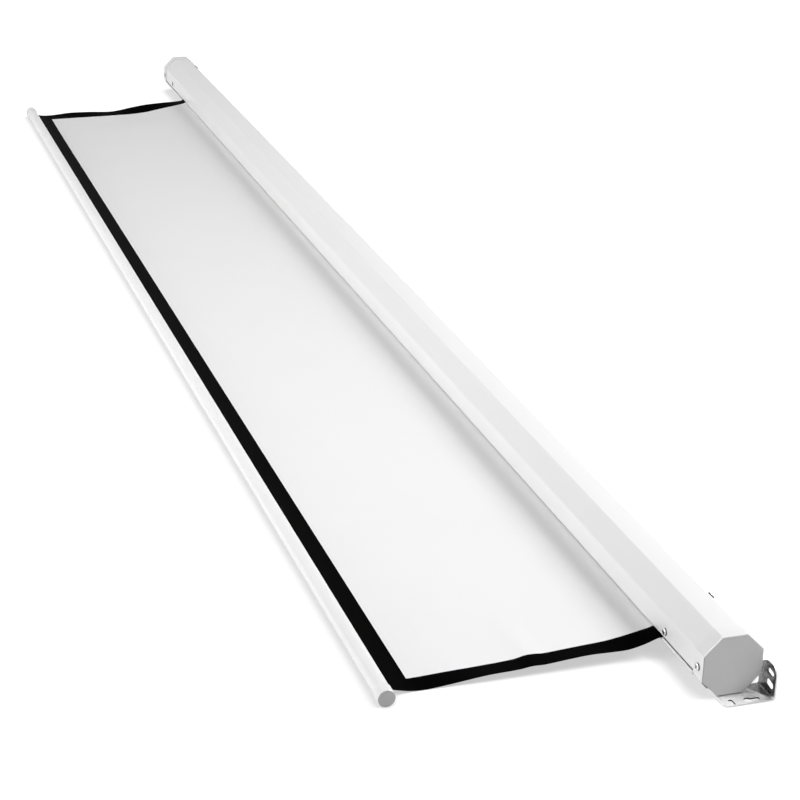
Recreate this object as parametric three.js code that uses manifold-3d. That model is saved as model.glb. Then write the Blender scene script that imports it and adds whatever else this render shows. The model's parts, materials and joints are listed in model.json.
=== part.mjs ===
// Pull down projector screen, lying on the wall side of its brackets with the fabric drawn a little way out.
// Millimetres. X runs along the casing, the fabric comes out towards -Y, +Y is the ceiling side
// when the screen hangs, and +Z points away from the wall.
import * as THREE from 'three';
import { mergeVertices } from 'three/addons/utils/BufferGeometryUtils.js';
import Module from 'manifold-3d';

const wasm = await Module();
wasm.setup();

// Clearances shared by the whole assembly.
const fitGap = 0.3;
const cutOverrun = 1;

// Casing: an octagonal sheet-steel tube with a slot for the fabric at one corner.
const casingEndRoom = 134.7;
const casingFlats = 64;
const casingWall = 0.8;
const slotOpening = 1.6;
const foldedEdgeDepth = 4;
const lipRadius = 1.5;
const lipInset = 1.1;
const lipRise = 0.7;
const lipSides = 12;

// End caps: moulded covers whose skirts slide over the ends of the casing.
const capSkirtWall = 0.7;
const capSkirtDepth = 19;
const capEndWall = 2;
const capBevel = 0.8;

// Brackets: bent strips with one flange for a wall and one for a ceiling.
const bracketSheet = 1.5;
const bracketBend = 2;
const bracketWidth = 33.4;
const bracketReach = 19;
const bracketFront = 14.6;
const bracketBack = 39.6;
const bracketRise = 35.1;
const bracketCornerClip = 3;
const bracketOuterRound = 10;
const bracketInnerRound = 19;
const mountSlotWidth = 4.6;
const mountSlotLength = 10.4;
const ceilingSlots = [
  { height: 13.1, length: 13, width: 6.6 },
  { height: 26.1, length: 11, width: 4.4 },
];
const ceilingSlotTilt = 10;
const keyholeRadius = 4.2;
const keyholeTravel = 13;
const mountHoleInset = 5.8;
const ceilingHoleInset = 10.6;
const wallSlotPlace = 4.6;
const keyholePlace = 12.5;

// Pan-head screws that hold the caps and the roller supports.
const screwShankRadius = 1.7;
const screwHeadRadius = 3.9;
const screwHeadHeight = 2.3;
const screwLength = 8;
const screwPoint = 1.6;
const screwRecessWidth = 0.9;
const screwRecessSpan = 4;
const screwRecessDepth = 1.2;
const screwSides = 14;
const capScrewInset = 9;
const capScrewDrop = 1.3;
const supportScrewDrop = 4;

// Rivets that hold each bracket under its cap and casing.
const rivetRadius = 2;
const rivetHeadRadius = 3.6;
const rivetHeadHeight = 1.5;
const rivetFlushRadius = 3;
const rivetSpacing = 16;
const rivetSides = 16;

// Roller supports: stamped plates inside the casing with tabs that the screws go into.
const supportPlate = 2;
const supportTab = 1.6;
const supportTabWidth = 11;
const supportTabEnd = 6.5;
const nearSupportRoom = 12;
const farSupportRoom = 108.4;
const nearFaceScrewStep = 7;
const nearUpperScrewStep = 20;
const farFaceScrewStep = 9;
const farUpperScrewStep = -13;

// Roller, its plugs and the idler pin it turns on.
const rollerRadius = 16;
const rollerWall = 0.9;
const rollerSides = 40;
const rollerNearClearance = 10;
const rollerFarClearance = 22;
const plugDepth = 26;
const plugFlangeWidth = 3;
const plugFlangeRadius = 17.5;
const idlerPinRadius = 4;
const idlerPinHeadRadius = 7;
const idlerPinHead = 2;
const boreSides = 20;

// Spring motor: a fixed spindle, a torsion spring round it and a gravity ratchet.
const spindleRadius = 5;
const spindleLength = 715;
const tangThickness = 4.4;
const tangHeight = 8;
const tangProud = 6;
const springWire = 2.6;
const springInnerRadius = 10;
const springEndInset = 24;
const collarLength = 14;
const anchorLength = 17;
const ratchetRadius = 8.6;
const ratchetWidth = 3;
const ratchetStandOff = 3;
const pawlPivotRadius = 13.5;
const pawlReach = 9.2;
const pawlHalfWidth = 1.2;
const pawlWidth = 2.4;
const pawlEyeRadius = 2.7;
const pawlPinRadius = 1.3;
const pawlPinHeadRadius = 2.3;
const pawlPinHead = 1.1;
const pawlRestAngle = 130;
const pawlSwing = 20;
const pawlSweepSteps = 5;
const pawlNotchClearance = 0.4;
const pawlSides = 14;

// Fabric: a matt sheet with dark borders, wound on the roller and drawn out to the bar.
const viewingWidth = 2214;
const sideBorder = 23.3;
const bottomBorder = 25.6;
const fabricThickness = 0.5;
const fabricOffset = 43.7;
const woundLength = 1332;
const drawnOut = 298;
const hemInside = 5;

// Bottom bar: a slotted round tube with a cap on each end, which rests on the caps.
const barRadius = 8.5;
const barWall = 0.9;
const barOverhang = 20.2;
const barSlotHalf = 1.2;
const barSlotAngle = -15;
const barSides = 32;
const barCapRadius = 9.3;
const barCapWall = 0.5;
const barCapDepth = 15;
const barCapEnd = 1.8;
const barCapBevel = 0.8;
const hemRodRadius = 2.4;
const hemRodOffset = 2.2;

// How the drawn-out fabric lies: shares of the free span against shares of the slot's height.
const drapeShares = [
  [0, 1],
  [0.06, 0.84],
  [0.16, 0.62],
  [0.32, 0.42],
  [0.5, 0.265],
  [0.68, 0.15],
  [0.85, 0.055],
  [0.93, 0.085],
];
const sheetRowShares = [0, 0.02, 0.05, 0.1, 0.16, 0.23, 0.3, 0.37, 0.44, 0.51, 0.58, 0.65, 0.72, 0.79, 0.86];
const sheetColumns = 24;
const borderColumns = 2;
const bottomRows = 6;
const nearEdgeLift = 2.8;
const farEdgeLift = 5.6;
const edgeLiftWidth = 90;
const nearLiftShares = [0.13, 0.83];
const farWaves = 2;

// Colours and finishes.
const finishes = {
  paintedSteel: { color: 0xf2f3f3, roughness: 0.38, metalness: 0.05 },
  capPlastic: { color: 0xe4e6e6, roughness: 0.5, metalness: 0 },
  zincPlate: { color: 0xc9ccce, roughness: 0.3, metalness: 0.9 },
  screwPlate: { color: 0xb9bcbf, roughness: 0.3, metalness: 0.9 },
  rollerSteel: { color: 0xa9adb0, roughness: 0.45, metalness: 0.8 },
  plugPlastic: { color: 0x2c2e30, roughness: 0.55, metalness: 0 },
  springSteel: { color: 0x5b5e61, roughness: 0.4, metalness: 0.85 },
  screenFabric: { color: 0xf4f5f5, roughness: 0.9, metalness: 0 },
  borderFabric: { color: 0x121213, roughness: 0.85, metalness: 0 },
  barPaint: { color: 0xf0f1f1, roughness: 0.35, metalness: 0.05 },
  barPlastic: { color: 0xeceded, roughness: 0.45, metalness: 0 },
};
const materials = Object.fromEntries(
  Object.entries(finishes).map(([name, finish]) => [
    name,
    new THREE.MeshStandardMaterial({ name, ...finish, flatShading: true }),
  ]),
);

// Sizes that follow from the ones above.
const degrees = Math.PI / 180;
const cornerShare = Math.SQRT2 - 1;
const capFlats = casingFlats + 2 * (fitGap + capSkirtWall);
const axisHeight = bracketSheet + fitGap + capFlats / 2;
const fabricWidth = viewingWidth + 2 * sideBorder;
const capEndX = fabricWidth / 2 + casingEndRoom;
const barLength = fabricWidth + 2 * barOverhang;
const casingEndX = capEndX - capEndWall - fitGap;
const skirtEdgeX = capEndX - capSkirtDepth;
const casingHalf = casingFlats / 2;
const casingCorner = casingHalf * cornerShare;
const casingInnerHalf = casingHalf - casingWall;
const capHalf = capFlats / 2;
const lipStep = lipInset / Math.SQRT2;
const lipOut = lipRise / Math.SQRT2;
const lipCentre = [-casingHalf + lipStep - lipOut, -casingCorner - lipStep - lipOut];
const lipTop = lipCentre[1] + lipRadius;
const foldedEdgeBottom = lipTop + slotOpening;
const slotMiddle = lipTop + slotOpening / 2;
const rollRadius = Math.sqrt(rollerRadius ** 2 + (woundLength * fabricThickness) / Math.PI);
const rollerInner = rollerRadius - rollerWall;
const nearEdgeX = fabricOffset + fabricWidth / 2;
const farEdgeX = fabricOffset - fabricWidth / 2;
const nearPlateX = nearEdgeX + nearSupportRoom;
const farPlateX = farEdgeX - farSupportRoom;
const rollerNearX = nearPlateX - rollerNearClearance;
const rollerFarX = farPlateX + rollerFarClearance;
const barY = -capHalf - drawnOut;
const barZ = barCapRadius;
const bracketOuterX = capEndX + bracketReach;
const bracketInnerX = bracketOuterX - bracketWidth;
const rowShiftY = (-(barY - barCapRadius) - bracketBack) / 2;

// Returns a closed indexed geometry: shared vertices merged, slivers dropped, faces pointing out.
function tidy(geometry) {
  const bare = geometry.clone();
  bare.deleteAttribute('normal');
  bare.deleteAttribute('uv');
  const mergeDistance = 1e-3;
  const merged = mergeVertices(bare, mergeDistance);
  const index = merged.index.array;
  const position = merged.attributes.position;
  const kept = [];
  const corners = [new THREE.Vector3(), new THREE.Vector3(), new THREE.Vector3()];
  let volume = 0;
  for (let i = 0; i < index.length; i += 3) {
    const [a, b, c] = [index[i], index[i + 1], index[i + 2]];
    if (a === b || b === c || c === a) continue;
    kept.push(a, b, c);
    [a, b, c].forEach((vertex, k) => corners[k].fromBufferAttribute(position, vertex));
    volume += corners[0].dot(corners[1].cross(corners[2]));
  }
  if (volume < 0) {
    for (let i = 0; i < kept.length; i += 3) {
      [kept[i + 1], kept[i + 2]] = [kept[i + 2], kept[i + 1]];
    }
  }
  const closed = new THREE.BufferGeometry();
  closed.setAttribute('position', position);
  closed.setIndex(kept);
  return closed;
}

function toManifold(geometry) {
  const closed = tidy(geometry);
  return new wasm.Manifold(
    new wasm.Mesh({
      numProp: 3,
      vertProperties: new Float32Array(closed.attributes.position.array),
      triVerts: new Uint32Array(closed.index.array),
    }),
  );
}

function fromManifold(solid) {
  const mesh = solid.getMesh();
  const geometry = new THREE.BufferGeometry();
  geometry.setAttribute('position', new THREE.BufferAttribute(new Float32Array(mesh.vertProperties), 3));
  geometry.setIndex(new THREE.BufferAttribute(new Uint32Array(mesh.triVerts), 1));
  return geometry;
}

function join(...geometries) {
  return fromManifold(geometries.map(toManifold).reduce((whole, next) => whole.add(next)));
}

function cut(geometry, cutters) {
  return fromManifold(cutters.map(toManifold).reduce((whole, next) => whole.subtract(next), toManifold(geometry)));
}

// An outline in (y, z), drawn out along X from one place to another.
function prism(points, fromX, toX, holes = []) {
  const shape = new THREE.Shape(points.map(([y, z]) => new THREE.Vector2(y, z)));
  shape.holes = holes.map((hole) => new THREE.Path(hole.map(([y, z]) => new THREE.Vector2(y, z))));
  const geometry = new THREE.ExtrudeGeometry(shape, { depth: toX - fromX, bevelEnabled: false });
  const basis = new THREE.Matrix4().makeBasis(
    new THREE.Vector3(0, 1, 0),
    new THREE.Vector3(0, 0, 1),
    new THREE.Vector3(1, 0, 0),
  );
  geometry.applyMatrix4(basis);
  geometry.translate(fromX, 0, 0);
  return geometry;
}

// A closed profile of [radius, x] points turned about the X axis.
function turned(profile, sides) {
  const geometry = new THREE.LatheGeometry(profile.map(([r, x]) => new THREE.Vector2(r, x)), sides);
  geometry.rotateZ(-Math.PI / 2);
  return geometry;
}

function sleeve(innerRadius, outerRadius, fromX, toX, sides) {
  return turned(
    [
      [innerRadius, fromX],
      [outerRadius, fromX],
      [outerRadius, toX],
      [innerRadius, toX],
      [innerRadius, fromX],
    ],
    sides,
  );
}

function rod(radius, fromX, toX, sides) {
  return turned(
    [
      [0, fromX],
      [radius, fromX],
      [radius, toX],
      [0, toX],
    ],
    sides,
  );
}

function circle(radius, sides, centre = [0, 0]) {
  return Array.from({ length: sides }, (_, i) => {
    const angle = (2 * Math.PI * i) / sides;
    return [centre[0] + radius * Math.cos(angle), centre[1] + radius * Math.sin(angle)];
  });
}

function octagon(flats) {
  const half = flats / 2;
  const corner = half * cornerShare;
  return [
    [half, -corner],
    [half, corner],
    [corner, half],
    [-corner, half],
    [-half, corner],
    [-half, -corner],
    [-corner, -half],
    [corner, -half],
  ];
}

function box(from, to) {
  const geometry = new THREE.BoxGeometry(to[0] - from[0], to[1] - from[1], to[2] - from[2]);
  geometry.translate((from[0] + to[0]) / 2, (from[1] + to[1]) / 2, (from[2] + to[2]) / 2);
  return geometry;
}

// The frame of a screw seat on one of the casing's flats: +Z points straight out of the flat.
function seat(x, faceAngle, along, out) {
  const normal = new THREE.Vector3(0, Math.cos(faceAngle * degrees), Math.sin(faceAngle * degrees));
  const tangent = new THREE.Vector3(0, -Math.sin(faceAngle * degrees), Math.cos(faceAngle * degrees));
  const matrix = new THREE.Matrix4().makeBasis(tangent, new THREE.Vector3().crossVectors(normal, tangent), normal);
  const place = new THREE.Vector3(x, 0, 0).addScaledVector(normal, out).addScaledVector(tangent, along);
  return matrix.setPosition(place);
}

function drill(radius, depth, matrix, sides = boreSides) {
  const geometry = new THREE.CylinderGeometry(radius, radius, 2 * depth, sides);
  geometry.rotateX(Math.PI / 2);
  geometry.applyMatrix4(matrix);
  return geometry;
}

// Where every screw sits. Face angles are measured in the YZ plane, 0 at +Y and 90 at +Z.
const frontFace = 180;
const rearFace = 0;
const upperRearChamfer = 45;
const lowerRearChamfer = -45;
const lowerFrontChamfer = 225;
const screwPlaces = [];
for (const [end, side, plateX, faceStep, upperStep] of [
  ['near', 1, nearPlateX, nearFaceScrewStep, nearUpperScrewStep],
  ['far', -1, farPlateX, farFaceScrewStep, farUpperScrewStep],
]) {
  const capX = side * (capEndX - capScrewInset);
  const faceX = plateX - side * faceStep;
  const upperX = plateX - side * upperStep;
  screwPlaces.push(
    { name: `cap_screw_front_${end}`, part: 'cap', side, x: capX, angle: frontFace, along: capScrewDrop },
    { name: `cap_screw_lower_${end}`, part: 'cap', side, x: capX, angle: lowerFrontChamfer, along: 0 },
    { name: `cap_screw_rear_${end}`, part: 'cap', side, x: capX, angle: rearFace, along: 0 },
    { name: `support_screw_front_${end}`, part: 'support', side, x: faceX, angle: frontFace, along: supportScrewDrop },
    { name: `support_screw_upper_${end}`, part: 'support', side, x: upperX, angle: upperRearChamfer, along: 0 },
    { name: `support_screw_lower_${end}`, part: 'support', side, x: faceX, angle: lowerRearChamfer, along: 0 },
  );
}

function screwHoles(places) {
  const depth = casingHalf;
  return places.map((place) => {
    const middle = seat(place.x, place.angle, place.along, casingHalf);
    return drill(screwShankRadius + fitGap, depth / 4, middle, screwSides);
  });
}

const rivetPlaces = [];
for (const [end, side] of [
  ['near', 1],
  ['far', -1],
]) {
  [-rivetSpacing / 2, rivetSpacing / 2].forEach((y, i) => {
    rivetPlaces.push({ name: `bracket_rivet_${end}_${i + 1}`, side, x: side * (capEndX - capScrewInset), y });
  });
}

function rivetHoles(places) {
  return places.map(({ x, y }) => {
    const down = new THREE.Matrix4().makeTranslation(x, y, -casingHalf);
    return drill(rivetRadius + fitGap, casingHalf / 4, down, rivetSides);
  });
}

function casingShell() {
  const inner = casingInnerHalf;
  const innerCorner = inner * cornerShare;
  const wallStep = casingWall / Math.SQRT2;
  const outline = [
    [-casingHalf, foldedEdgeBottom],
    [-casingHalf, casingCorner],
    [-casingCorner, casingHalf],
    [casingCorner, casingHalf],
    [casingHalf, casingCorner],
    [casingHalf, -casingCorner],
    [casingCorner, -casingHalf],
    [-casingCorner, -casingHalf],
    [-casingHalf + lipStep, -casingCorner - lipStep],
    [-casingHalf + lipStep + wallStep, -casingCorner - lipStep + wallStep],
    [-innerCorner, -inner],
    [innerCorner, -inner],
    [inner, -innerCorner],
    [inner, innerCorner],
    [innerCorner, inner],
    [-innerCorner, inner],
    [-inner, innerCorner],
    [-inner, foldedEdgeBottom + casingWall],
    [-casingHalf + foldedEdgeDepth, foldedEdgeBottom + casingWall],
    [-casingHalf + foldedEdgeDepth, foldedEdgeBottom],
  ];
  const lipEndX = skirtEdgeX - fitGap;
  const tube = prism(outline, -casingEndX, casingEndX);
  const lip = prism(circle(lipRadius, lipSides, lipCentre), -lipEndX, lipEndX);
  return cut(join(tube, lip), [...screwHoles(screwPlaces), ...rivetHoles(rivetPlaces)]);
}

// The near cap, with its closed end at +X. The far one is its mirror image.
function endCap(side) {
  const insideFlats = casingFlats + 2 * fitGap;
  const bevelStartX = capEndX - capBevel;
  const body = prism(octagon(capFlats), skirtEdgeX, bevelStartX);
  const shape = new THREE.Shape(
    octagon(capFlats - 2 * capBevel).map(([y, z]) => new THREE.Vector2(y, z)),
  );
  const face = new THREE.ExtrudeGeometry(shape, {
    depth: 0,
    bevelEnabled: true,
    bevelThickness: capBevel,
    bevelSize: capBevel,
    bevelSegments: 1,
  });
  face.applyMatrix4(
    new THREE.Matrix4().makeBasis(new THREE.Vector3(0, 1, 0), new THREE.Vector3(0, 0, 1), new THREE.Vector3(1, 0, 0)),
  );
  face.translate(bevelStartX, 0, 0);
  const hollow = prism(octagon(insideFlats), skirtEdgeX - cutOverrun, capEndX - capEndWall);
  const whole = cut(join(body, face), [hollow]);
  const ownScrews = screwPlaces.filter((place) => place.part === 'cap' && place.side > 0);
  const ownRivets = rivetPlaces.filter((place) => place.side > 0);
  const drilled = cut(whole, [...screwHoles(ownScrews), ...rivetHoles(ownRivets)]);
  return side > 0 ? drilled : mirroredX(drilled);
}

function mirroredX(geometry) {
  const copy = geometry.clone();
  copy.scale(-1, 1, 1);
  return tidy(copy);
}

// An oblong in a plane, as a list of points: its ends are round and its length runs along the first axis.
function oblong(length, width, turn, centre) {
  const reach = (length - width) / 2;
  const endSteps = 6;
  const points = [];
  for (const [start, offset] of [
    [-90, reach],
    [90, -reach],
  ]) {
    for (let i = 0; i <= endSteps; i += 1) {
      const angle = (start + (180 * i) / endSteps) * degrees;
      points.push([offset + (width / 2) * Math.cos(angle), (width / 2) * Math.sin(angle)]);
    }
  }
  const [c, s] = [Math.cos(turn * degrees), Math.sin(turn * degrees)];
  return points.map(([u, v]) => [centre[0] + u * c - v * s, centre[1] + u * s + v * c]);
}

// Cutters through the wall flange run along Z, those through the ceiling flange along Y.
function throughWallFlange(points) {
  const shape = new THREE.Shape(points.map(([x, y]) => new THREE.Vector2(x, y)));
  const depth = bracketSheet + 2 * cutOverrun;
  const geometry = new THREE.ExtrudeGeometry(shape, { depth, bevelEnabled: false });
  geometry.translate(0, 0, -cutOverrun);
  return geometry;
}

function throughCeilingFlange(points) {
  const shape = new THREE.Shape(points.map(([x, z]) => new THREE.Vector2(x, z)));
  const depth = bracketSheet + 2 * cutOverrun;
  const geometry = new THREE.ExtrudeGeometry(shape, { depth, bevelEnabled: false });
  geometry.rotateX(Math.PI / 2);
  geometry.translate(0, bracketBack + cutOverrun, 0);
  return geometry;
}

function cornerCutter(x, z, towardsX, radius) {
  const steps = 6;
  const centre = [x + towardsX * radius, z - radius];
  const points = [[x - towardsX * cutOverrun, z + cutOverrun]];
  points.push([x - towardsX * cutOverrun, z - radius]);
  for (let i = 0; i <= steps; i += 1) {
    const angle = (90 * i) / steps;
    points.push([
      centre[0] - towardsX * radius * Math.cos(angle * degrees),
      centre[1] + radius * Math.sin(angle * degrees),
    ]);
  }
  points.push([x + towardsX * radius, z + cutOverrun]);
  return throughCeilingFlange(points);
}

// The bracket at the near end: a wall flange under the cap and a ceiling flange standing up behind it.
function bracket(side) {
  const outer = bracketBend + bracketSheet;
  const centre = [bracketBack - outer, outer];
  const bendSteps = 5;
  const arc = (radius, from, to) =>
    Array.from({ length: bendSteps + 1 }, (_, i) => {
      const angle = (from + ((to - from) * i) / bendSteps) * degrees;
      return [centre[0] + radius * Math.cos(angle), centre[1] + radius * Math.sin(angle)];
    });
  const profile = [
    [-bracketFront, 0],
    ...arc(outer, -90, 0),
    [bracketBack, bracketRise],
    [bracketBack - bracketSheet, bracketRise],
    ...arc(bracketBend, 0, -90),
    [-bracketFront, bracketSheet],
  ];
  const strip = prism(profile, bracketInnerX, bracketOuterX);
  const clip = [
    [bracketOuterX + cutOverrun, -bracketFront - cutOverrun],
    [bracketOuterX + cutOverrun, -bracketFront + bracketCornerClip],
    [bracketOuterX, -bracketFront + bracketCornerClip],
    [bracketOuterX - bracketCornerClip, -bracketFront],
    [bracketOuterX - bracketCornerClip, -bracketFront - cutOverrun],
  ];
  const holeX = bracketOuterX - mountHoleInset;
  const keyholeEnd = keyholePlace + keyholeTravel;
  const keyNeck = [
    [holeX - mountSlotWidth / 2, keyholePlace],
    [holeX + mountSlotWidth / 2, keyholePlace],
    [holeX + mountSlotWidth / 2, keyholeEnd - mountSlotWidth / 2],
    [holeX - mountSlotWidth / 2, keyholeEnd - mountSlotWidth / 2],
  ];
  const cutters = [
    throughWallFlange(clip),
    throughWallFlange(oblong(mountSlotLength, mountSlotWidth, 0, [holeX, -wallSlotPlace])),
    throughWallFlange(circle(keyholeRadius, boreSides, [holeX, keyholePlace])),
    throughWallFlange(keyNeck),
    throughWallFlange(circle(mountSlotWidth / 2, boreSides, [holeX, keyholeEnd - mountSlotWidth / 2])),
    cornerCutter(bracketInnerX, bracketRise, 1, bracketInnerRound),
    cornerCutter(bracketOuterX, bracketRise, -1, bracketOuterRound),
    ...ceilingSlots.map(({ height, length, width }) =>
      throughCeilingFlange(
        oblong(length, width, -ceilingSlotTilt, [bracketOuterX - ceilingHoleInset, height]),
      ),
    ),
    ...rivetPlaces
      .filter((place) => place.side > 0)
      .map(({ x, y }) => countersink(rivetFlushRadius + fitGap, rivetRadius + fitGap, x, y)),
  ];
  const cutStrip = cut(strip, cutters);
  return side > 0 ? cutStrip : mirroredX(cutStrip);
}

// A cutter that is wide at the wall side and narrows to the rivet's shank at the flange's inner face.
function countersink(wide, narrow, x, y) {
  const geometry = new THREE.LatheGeometry(
    [
      new THREE.Vector2(0, -cutOverrun),
      new THREE.Vector2(wide, -cutOverrun),
      new THREE.Vector2(wide, 0),
      new THREE.Vector2(narrow, bracketSheet),
      new THREE.Vector2(narrow, bracketSheet + cutOverrun),
      new THREE.Vector2(0, bracketSheet + cutOverrun),
    ],
    rivetSides,
  );
  geometry.rotateX(Math.PI / 2);
  geometry.translate(x, y, 0);
  return geometry;
}

// A rivet, standing on its flush head at z = 0, with its formed head inside the casing.
function rivet() {
  const flushBottom = fitGap / 2;
  const seatHeight = axisHeight - casingInnerHalf + fitGap;
  const top = seatHeight + rivetHeadHeight;
  const geometry = new THREE.LatheGeometry(
    [
      new THREE.Vector2(0, flushBottom),
      new THREE.Vector2(rivetFlushRadius, flushBottom),
      new THREE.Vector2(rivetRadius, bracketSheet),
      new THREE.Vector2(rivetRadius, seatHeight),
      new THREE.Vector2(rivetHeadRadius, seatHeight),
      new THREE.Vector2(rivetHeadRadius * 0.8, seatHeight + rivetHeadHeight * 0.6),
      new THREE.Vector2(0, top),
    ],
    rivetSides,
  );
  geometry.rotateX(Math.PI / 2);
  return tidy(geometry);
}

// A pan-head screw along +Z with its head's underside at z = 0.
function panHeadScrew() {
  const profileShares = [
    [1, 0.3],
    [0.86, 0.68],
    [0.5, 0.94],
  ];
  const geometry = new THREE.LatheGeometry(
    [
      new THREE.Vector2(0, -screwLength),
      new THREE.Vector2(screwShankRadius, -screwLength + screwPoint),
      new THREE.Vector2(screwShankRadius, 0),
      new THREE.Vector2(screwHeadRadius, 0),
      ...profileShares.map(([r, h]) => new THREE.Vector2(screwHeadRadius * r, screwHeadHeight * h)),
      new THREE.Vector2(0, screwHeadHeight),
    ],
    screwSides,
  );
  geometry.rotateX(Math.PI / 2);
  const low = screwHeadHeight - screwRecessDepth;
  const high = screwHeadHeight + cutOverrun;
  const [half, span] = [screwRecessWidth / 2, screwRecessSpan / 2];
  return cut(geometry, [box([-half, -span, low], [half, span, high]), box([-span, -half, low], [span, half, high])]);
}

// A support plate with one tab under each of its screws, at the near or the far end.
function rollerSupport(side, plateX, bore) {
  const flats = 2 * (casingInnerHalf - fitGap);
  const outwards = plateX + side * supportPlate;
  const [low, high] = [Math.min(plateX, outwards), Math.max(plateX, outwards)];
  const plate = prism(octagon(flats), low, high);
  const own = screwPlaces.filter((place) => place.part === 'support' && place.side === side);
  const tabs = own.map((place) => {
    const tabLow = Math.min(low, place.x - supportTabEnd);
    const tabHigh = Math.max(high, place.x + supportTabEnd);
    const out = casingInnerHalf - fitGap;
    const tab = new THREE.BoxGeometry(supportTabWidth, tabHigh - tabLow, supportTab);
    tab.applyMatrix4(seat((tabLow + tabHigh) / 2, place.angle, place.along, out - supportTab / 2));
    return tab;
  });
  const relief = box(
    [low - cutOverrun, -casingHalf - cutOverrun, lipTop - fitGap],
    [high + cutOverrun, -casingHalf + foldedEdgeDepth + fitGap, foldedEdgeBottom + casingWall + fitGap],
  );
  return cut(join(plate, ...tabs), [relief, bore(low, high), ...screwHoles(own)]);
}

function roundBore(radius) {
  return (low, high) => rod(radius, low - cutOverrun, high + cutOverrun, boreSides);
}

function tangBore() {
  const [y, z] = [tangThickness / 2 + fitGap, tangHeight / 2 + fitGap];
  return (low, high) => box([low - cutOverrun, -y, -z], [high + cutOverrun, y, z]);
}

// The plug that closes the near end of the roller and turns on the idler pin.
function idlerPlug() {
  const flangeX = rollerNearX + fitGap;
  return turned(
    [
      [idlerPinRadius + fitGap, rollerNearX - plugDepth],
      [rollerInner - fitGap, rollerNearX - plugDepth],
      [rollerInner - fitGap, flangeX],
      [plugFlangeRadius, flangeX],
      [plugFlangeRadius, flangeX + plugFlangeWidth],
      [idlerPinRadius + fitGap, flangeX + plugFlangeWidth],
      [idlerPinRadius + fitGap, rollerNearX - plugDepth],
    ],
    rollerSides,
  );
}

function idlerPin() {
  const headX = nearPlateX + supportPlate + fitGap;
  return turned(
    [
      [0, rollerNearX - plugDepth],
      [idlerPinRadius, rollerNearX - plugDepth],
      [idlerPinRadius, headX],
      [idlerPinHeadRadius, headX],
      [idlerPinHeadRadius, headX + idlerPinHead],
      [0, headX + idlerPinHead],
    ],
    boreSides,
  );
}

// Places along X in the far end of the roller, from the support plate inwards.
const ratchetFlangeX = rollerFarX - fitGap;
const ratchetFlangeOuterX = ratchetFlangeX - plugFlangeWidth;
const ratchetX = ratchetFlangeOuterX - ratchetStandOff - ratchetWidth / 2;
const springFarX = rollerFarX + plugDepth + springEndInset / 2;
const spindleFarX = farPlateX + fitGap;
const spindleNearX = spindleFarX + spindleLength;
const anchorX = spindleNearX - anchorLength - fitGap;
const springNearX = anchorX - fitGap;

function ratchetPlug() {
  const body = turned(
    [
      [spindleRadius + fitGap, ratchetFlangeOuterX],
      [plugFlangeRadius, ratchetFlangeOuterX],
      [plugFlangeRadius, ratchetFlangeX],
      [rollerInner - fitGap, ratchetFlangeX],
      [rollerInner - fitGap, rollerFarX + plugDepth],
      [spindleRadius + fitGap, rollerFarX + plugDepth],
      [spindleRadius + fitGap, ratchetFlangeOuterX],
    ],
    rollerSides,
  );
  const pinHoles = [1, -1].map((way) => {
    const hole = rod(
      pawlPinRadius + fitGap,
      ratchetFlangeOuterX - cutOverrun,
      ratchetFlangeX - fitGap,
      pawlSides,
    );
    hole.translate(0, way * pawlPivotRadius, 0);
    return hole;
  });
  return cut(body, pinHoles);
}

function springSpindle() {
  const shaft = rod(spindleRadius, spindleFarX, spindleNearX, boreSides);
  const tang = box(
    [farPlateX - supportPlate - tangProud, -tangThickness / 2, -tangHeight / 2],
    [spindleFarX + cutOverrun, tangThickness / 2, tangHeight / 2],
  );
  return join(shaft, tang);
}

// The rounded eye and tapered nose of a pawl, turned about its pivot by an angle, as solid prisms along X.
function pawlPieces(angle, spread, width) {
  const direction = [Math.cos(angle * degrees), Math.sin(angle * degrees)];
  const across = [-direction[1], direction[0]];
  const half = pawlHalfWidth + spread;
  const at = (along, sideways) => [
    pawlPivotRadius + direction[0] * along + across[0] * sideways,
    direction[1] * along + across[1] * sideways,
  ];
  const eyeReach = pawlEyeRadius / 2;
  const arm = [
    at(0, -pawlEyeRadius + half / 2),
    at(eyeReach, -half - half / 2),
    at(pawlReach + spread, -half),
    at(pawlReach + spread, half / 2),
    at(pawlReach / 2, half),
    at(0, pawlEyeRadius - half / 2),
  ];
  const eye = circle(pawlEyeRadius + spread, pawlSides, [pawlPivotRadius, 0]);
  return [prism(arm, ratchetX - width / 2, ratchetX + width / 2), prism(eye, ratchetX - width / 2, ratchetX + width / 2)];
}

function pawl(way) {
  const hole = rod(
    pawlPinRadius + fitGap,
    ratchetX - pawlWidth / 2 - cutOverrun,
    ratchetX + pawlWidth / 2 + cutOverrun,
    pawlSides,
  );
  hole.translate(0, pawlPivotRadius, 0);
  const geometry = cut(join(...pawlPieces(pawlRestAngle, 0, pawlWidth)), [hole]);
  if (way < 0) geometry.rotateX(Math.PI);
  return geometry;
}

// The fixed wheel: two notches, each cleared over the whole swing of the pawl that drops into it.
function ratchetWheel() {
  const blank = sleeve(
    spindleRadius + fitGap,
    ratchetRadius,
    ratchetX - ratchetWidth / 2,
    ratchetX + ratchetWidth / 2,
    rollerSides,
  );
  const cutters = [];
  for (let i = 0; i <= pawlSweepSteps; i += 1) {
    const angle = pawlRestAngle + (pawlSwing * i) / pawlSweepSteps;
    const [arm] = pawlPieces(angle, pawlNotchClearance, ratchetWidth + 2 * cutOverrun);
    const turnedOver = arm.clone();
    turnedOver.rotateX(Math.PI);
    cutters.push(arm, turnedOver);
  }
  return cut(blank, cutters);
}

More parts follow.
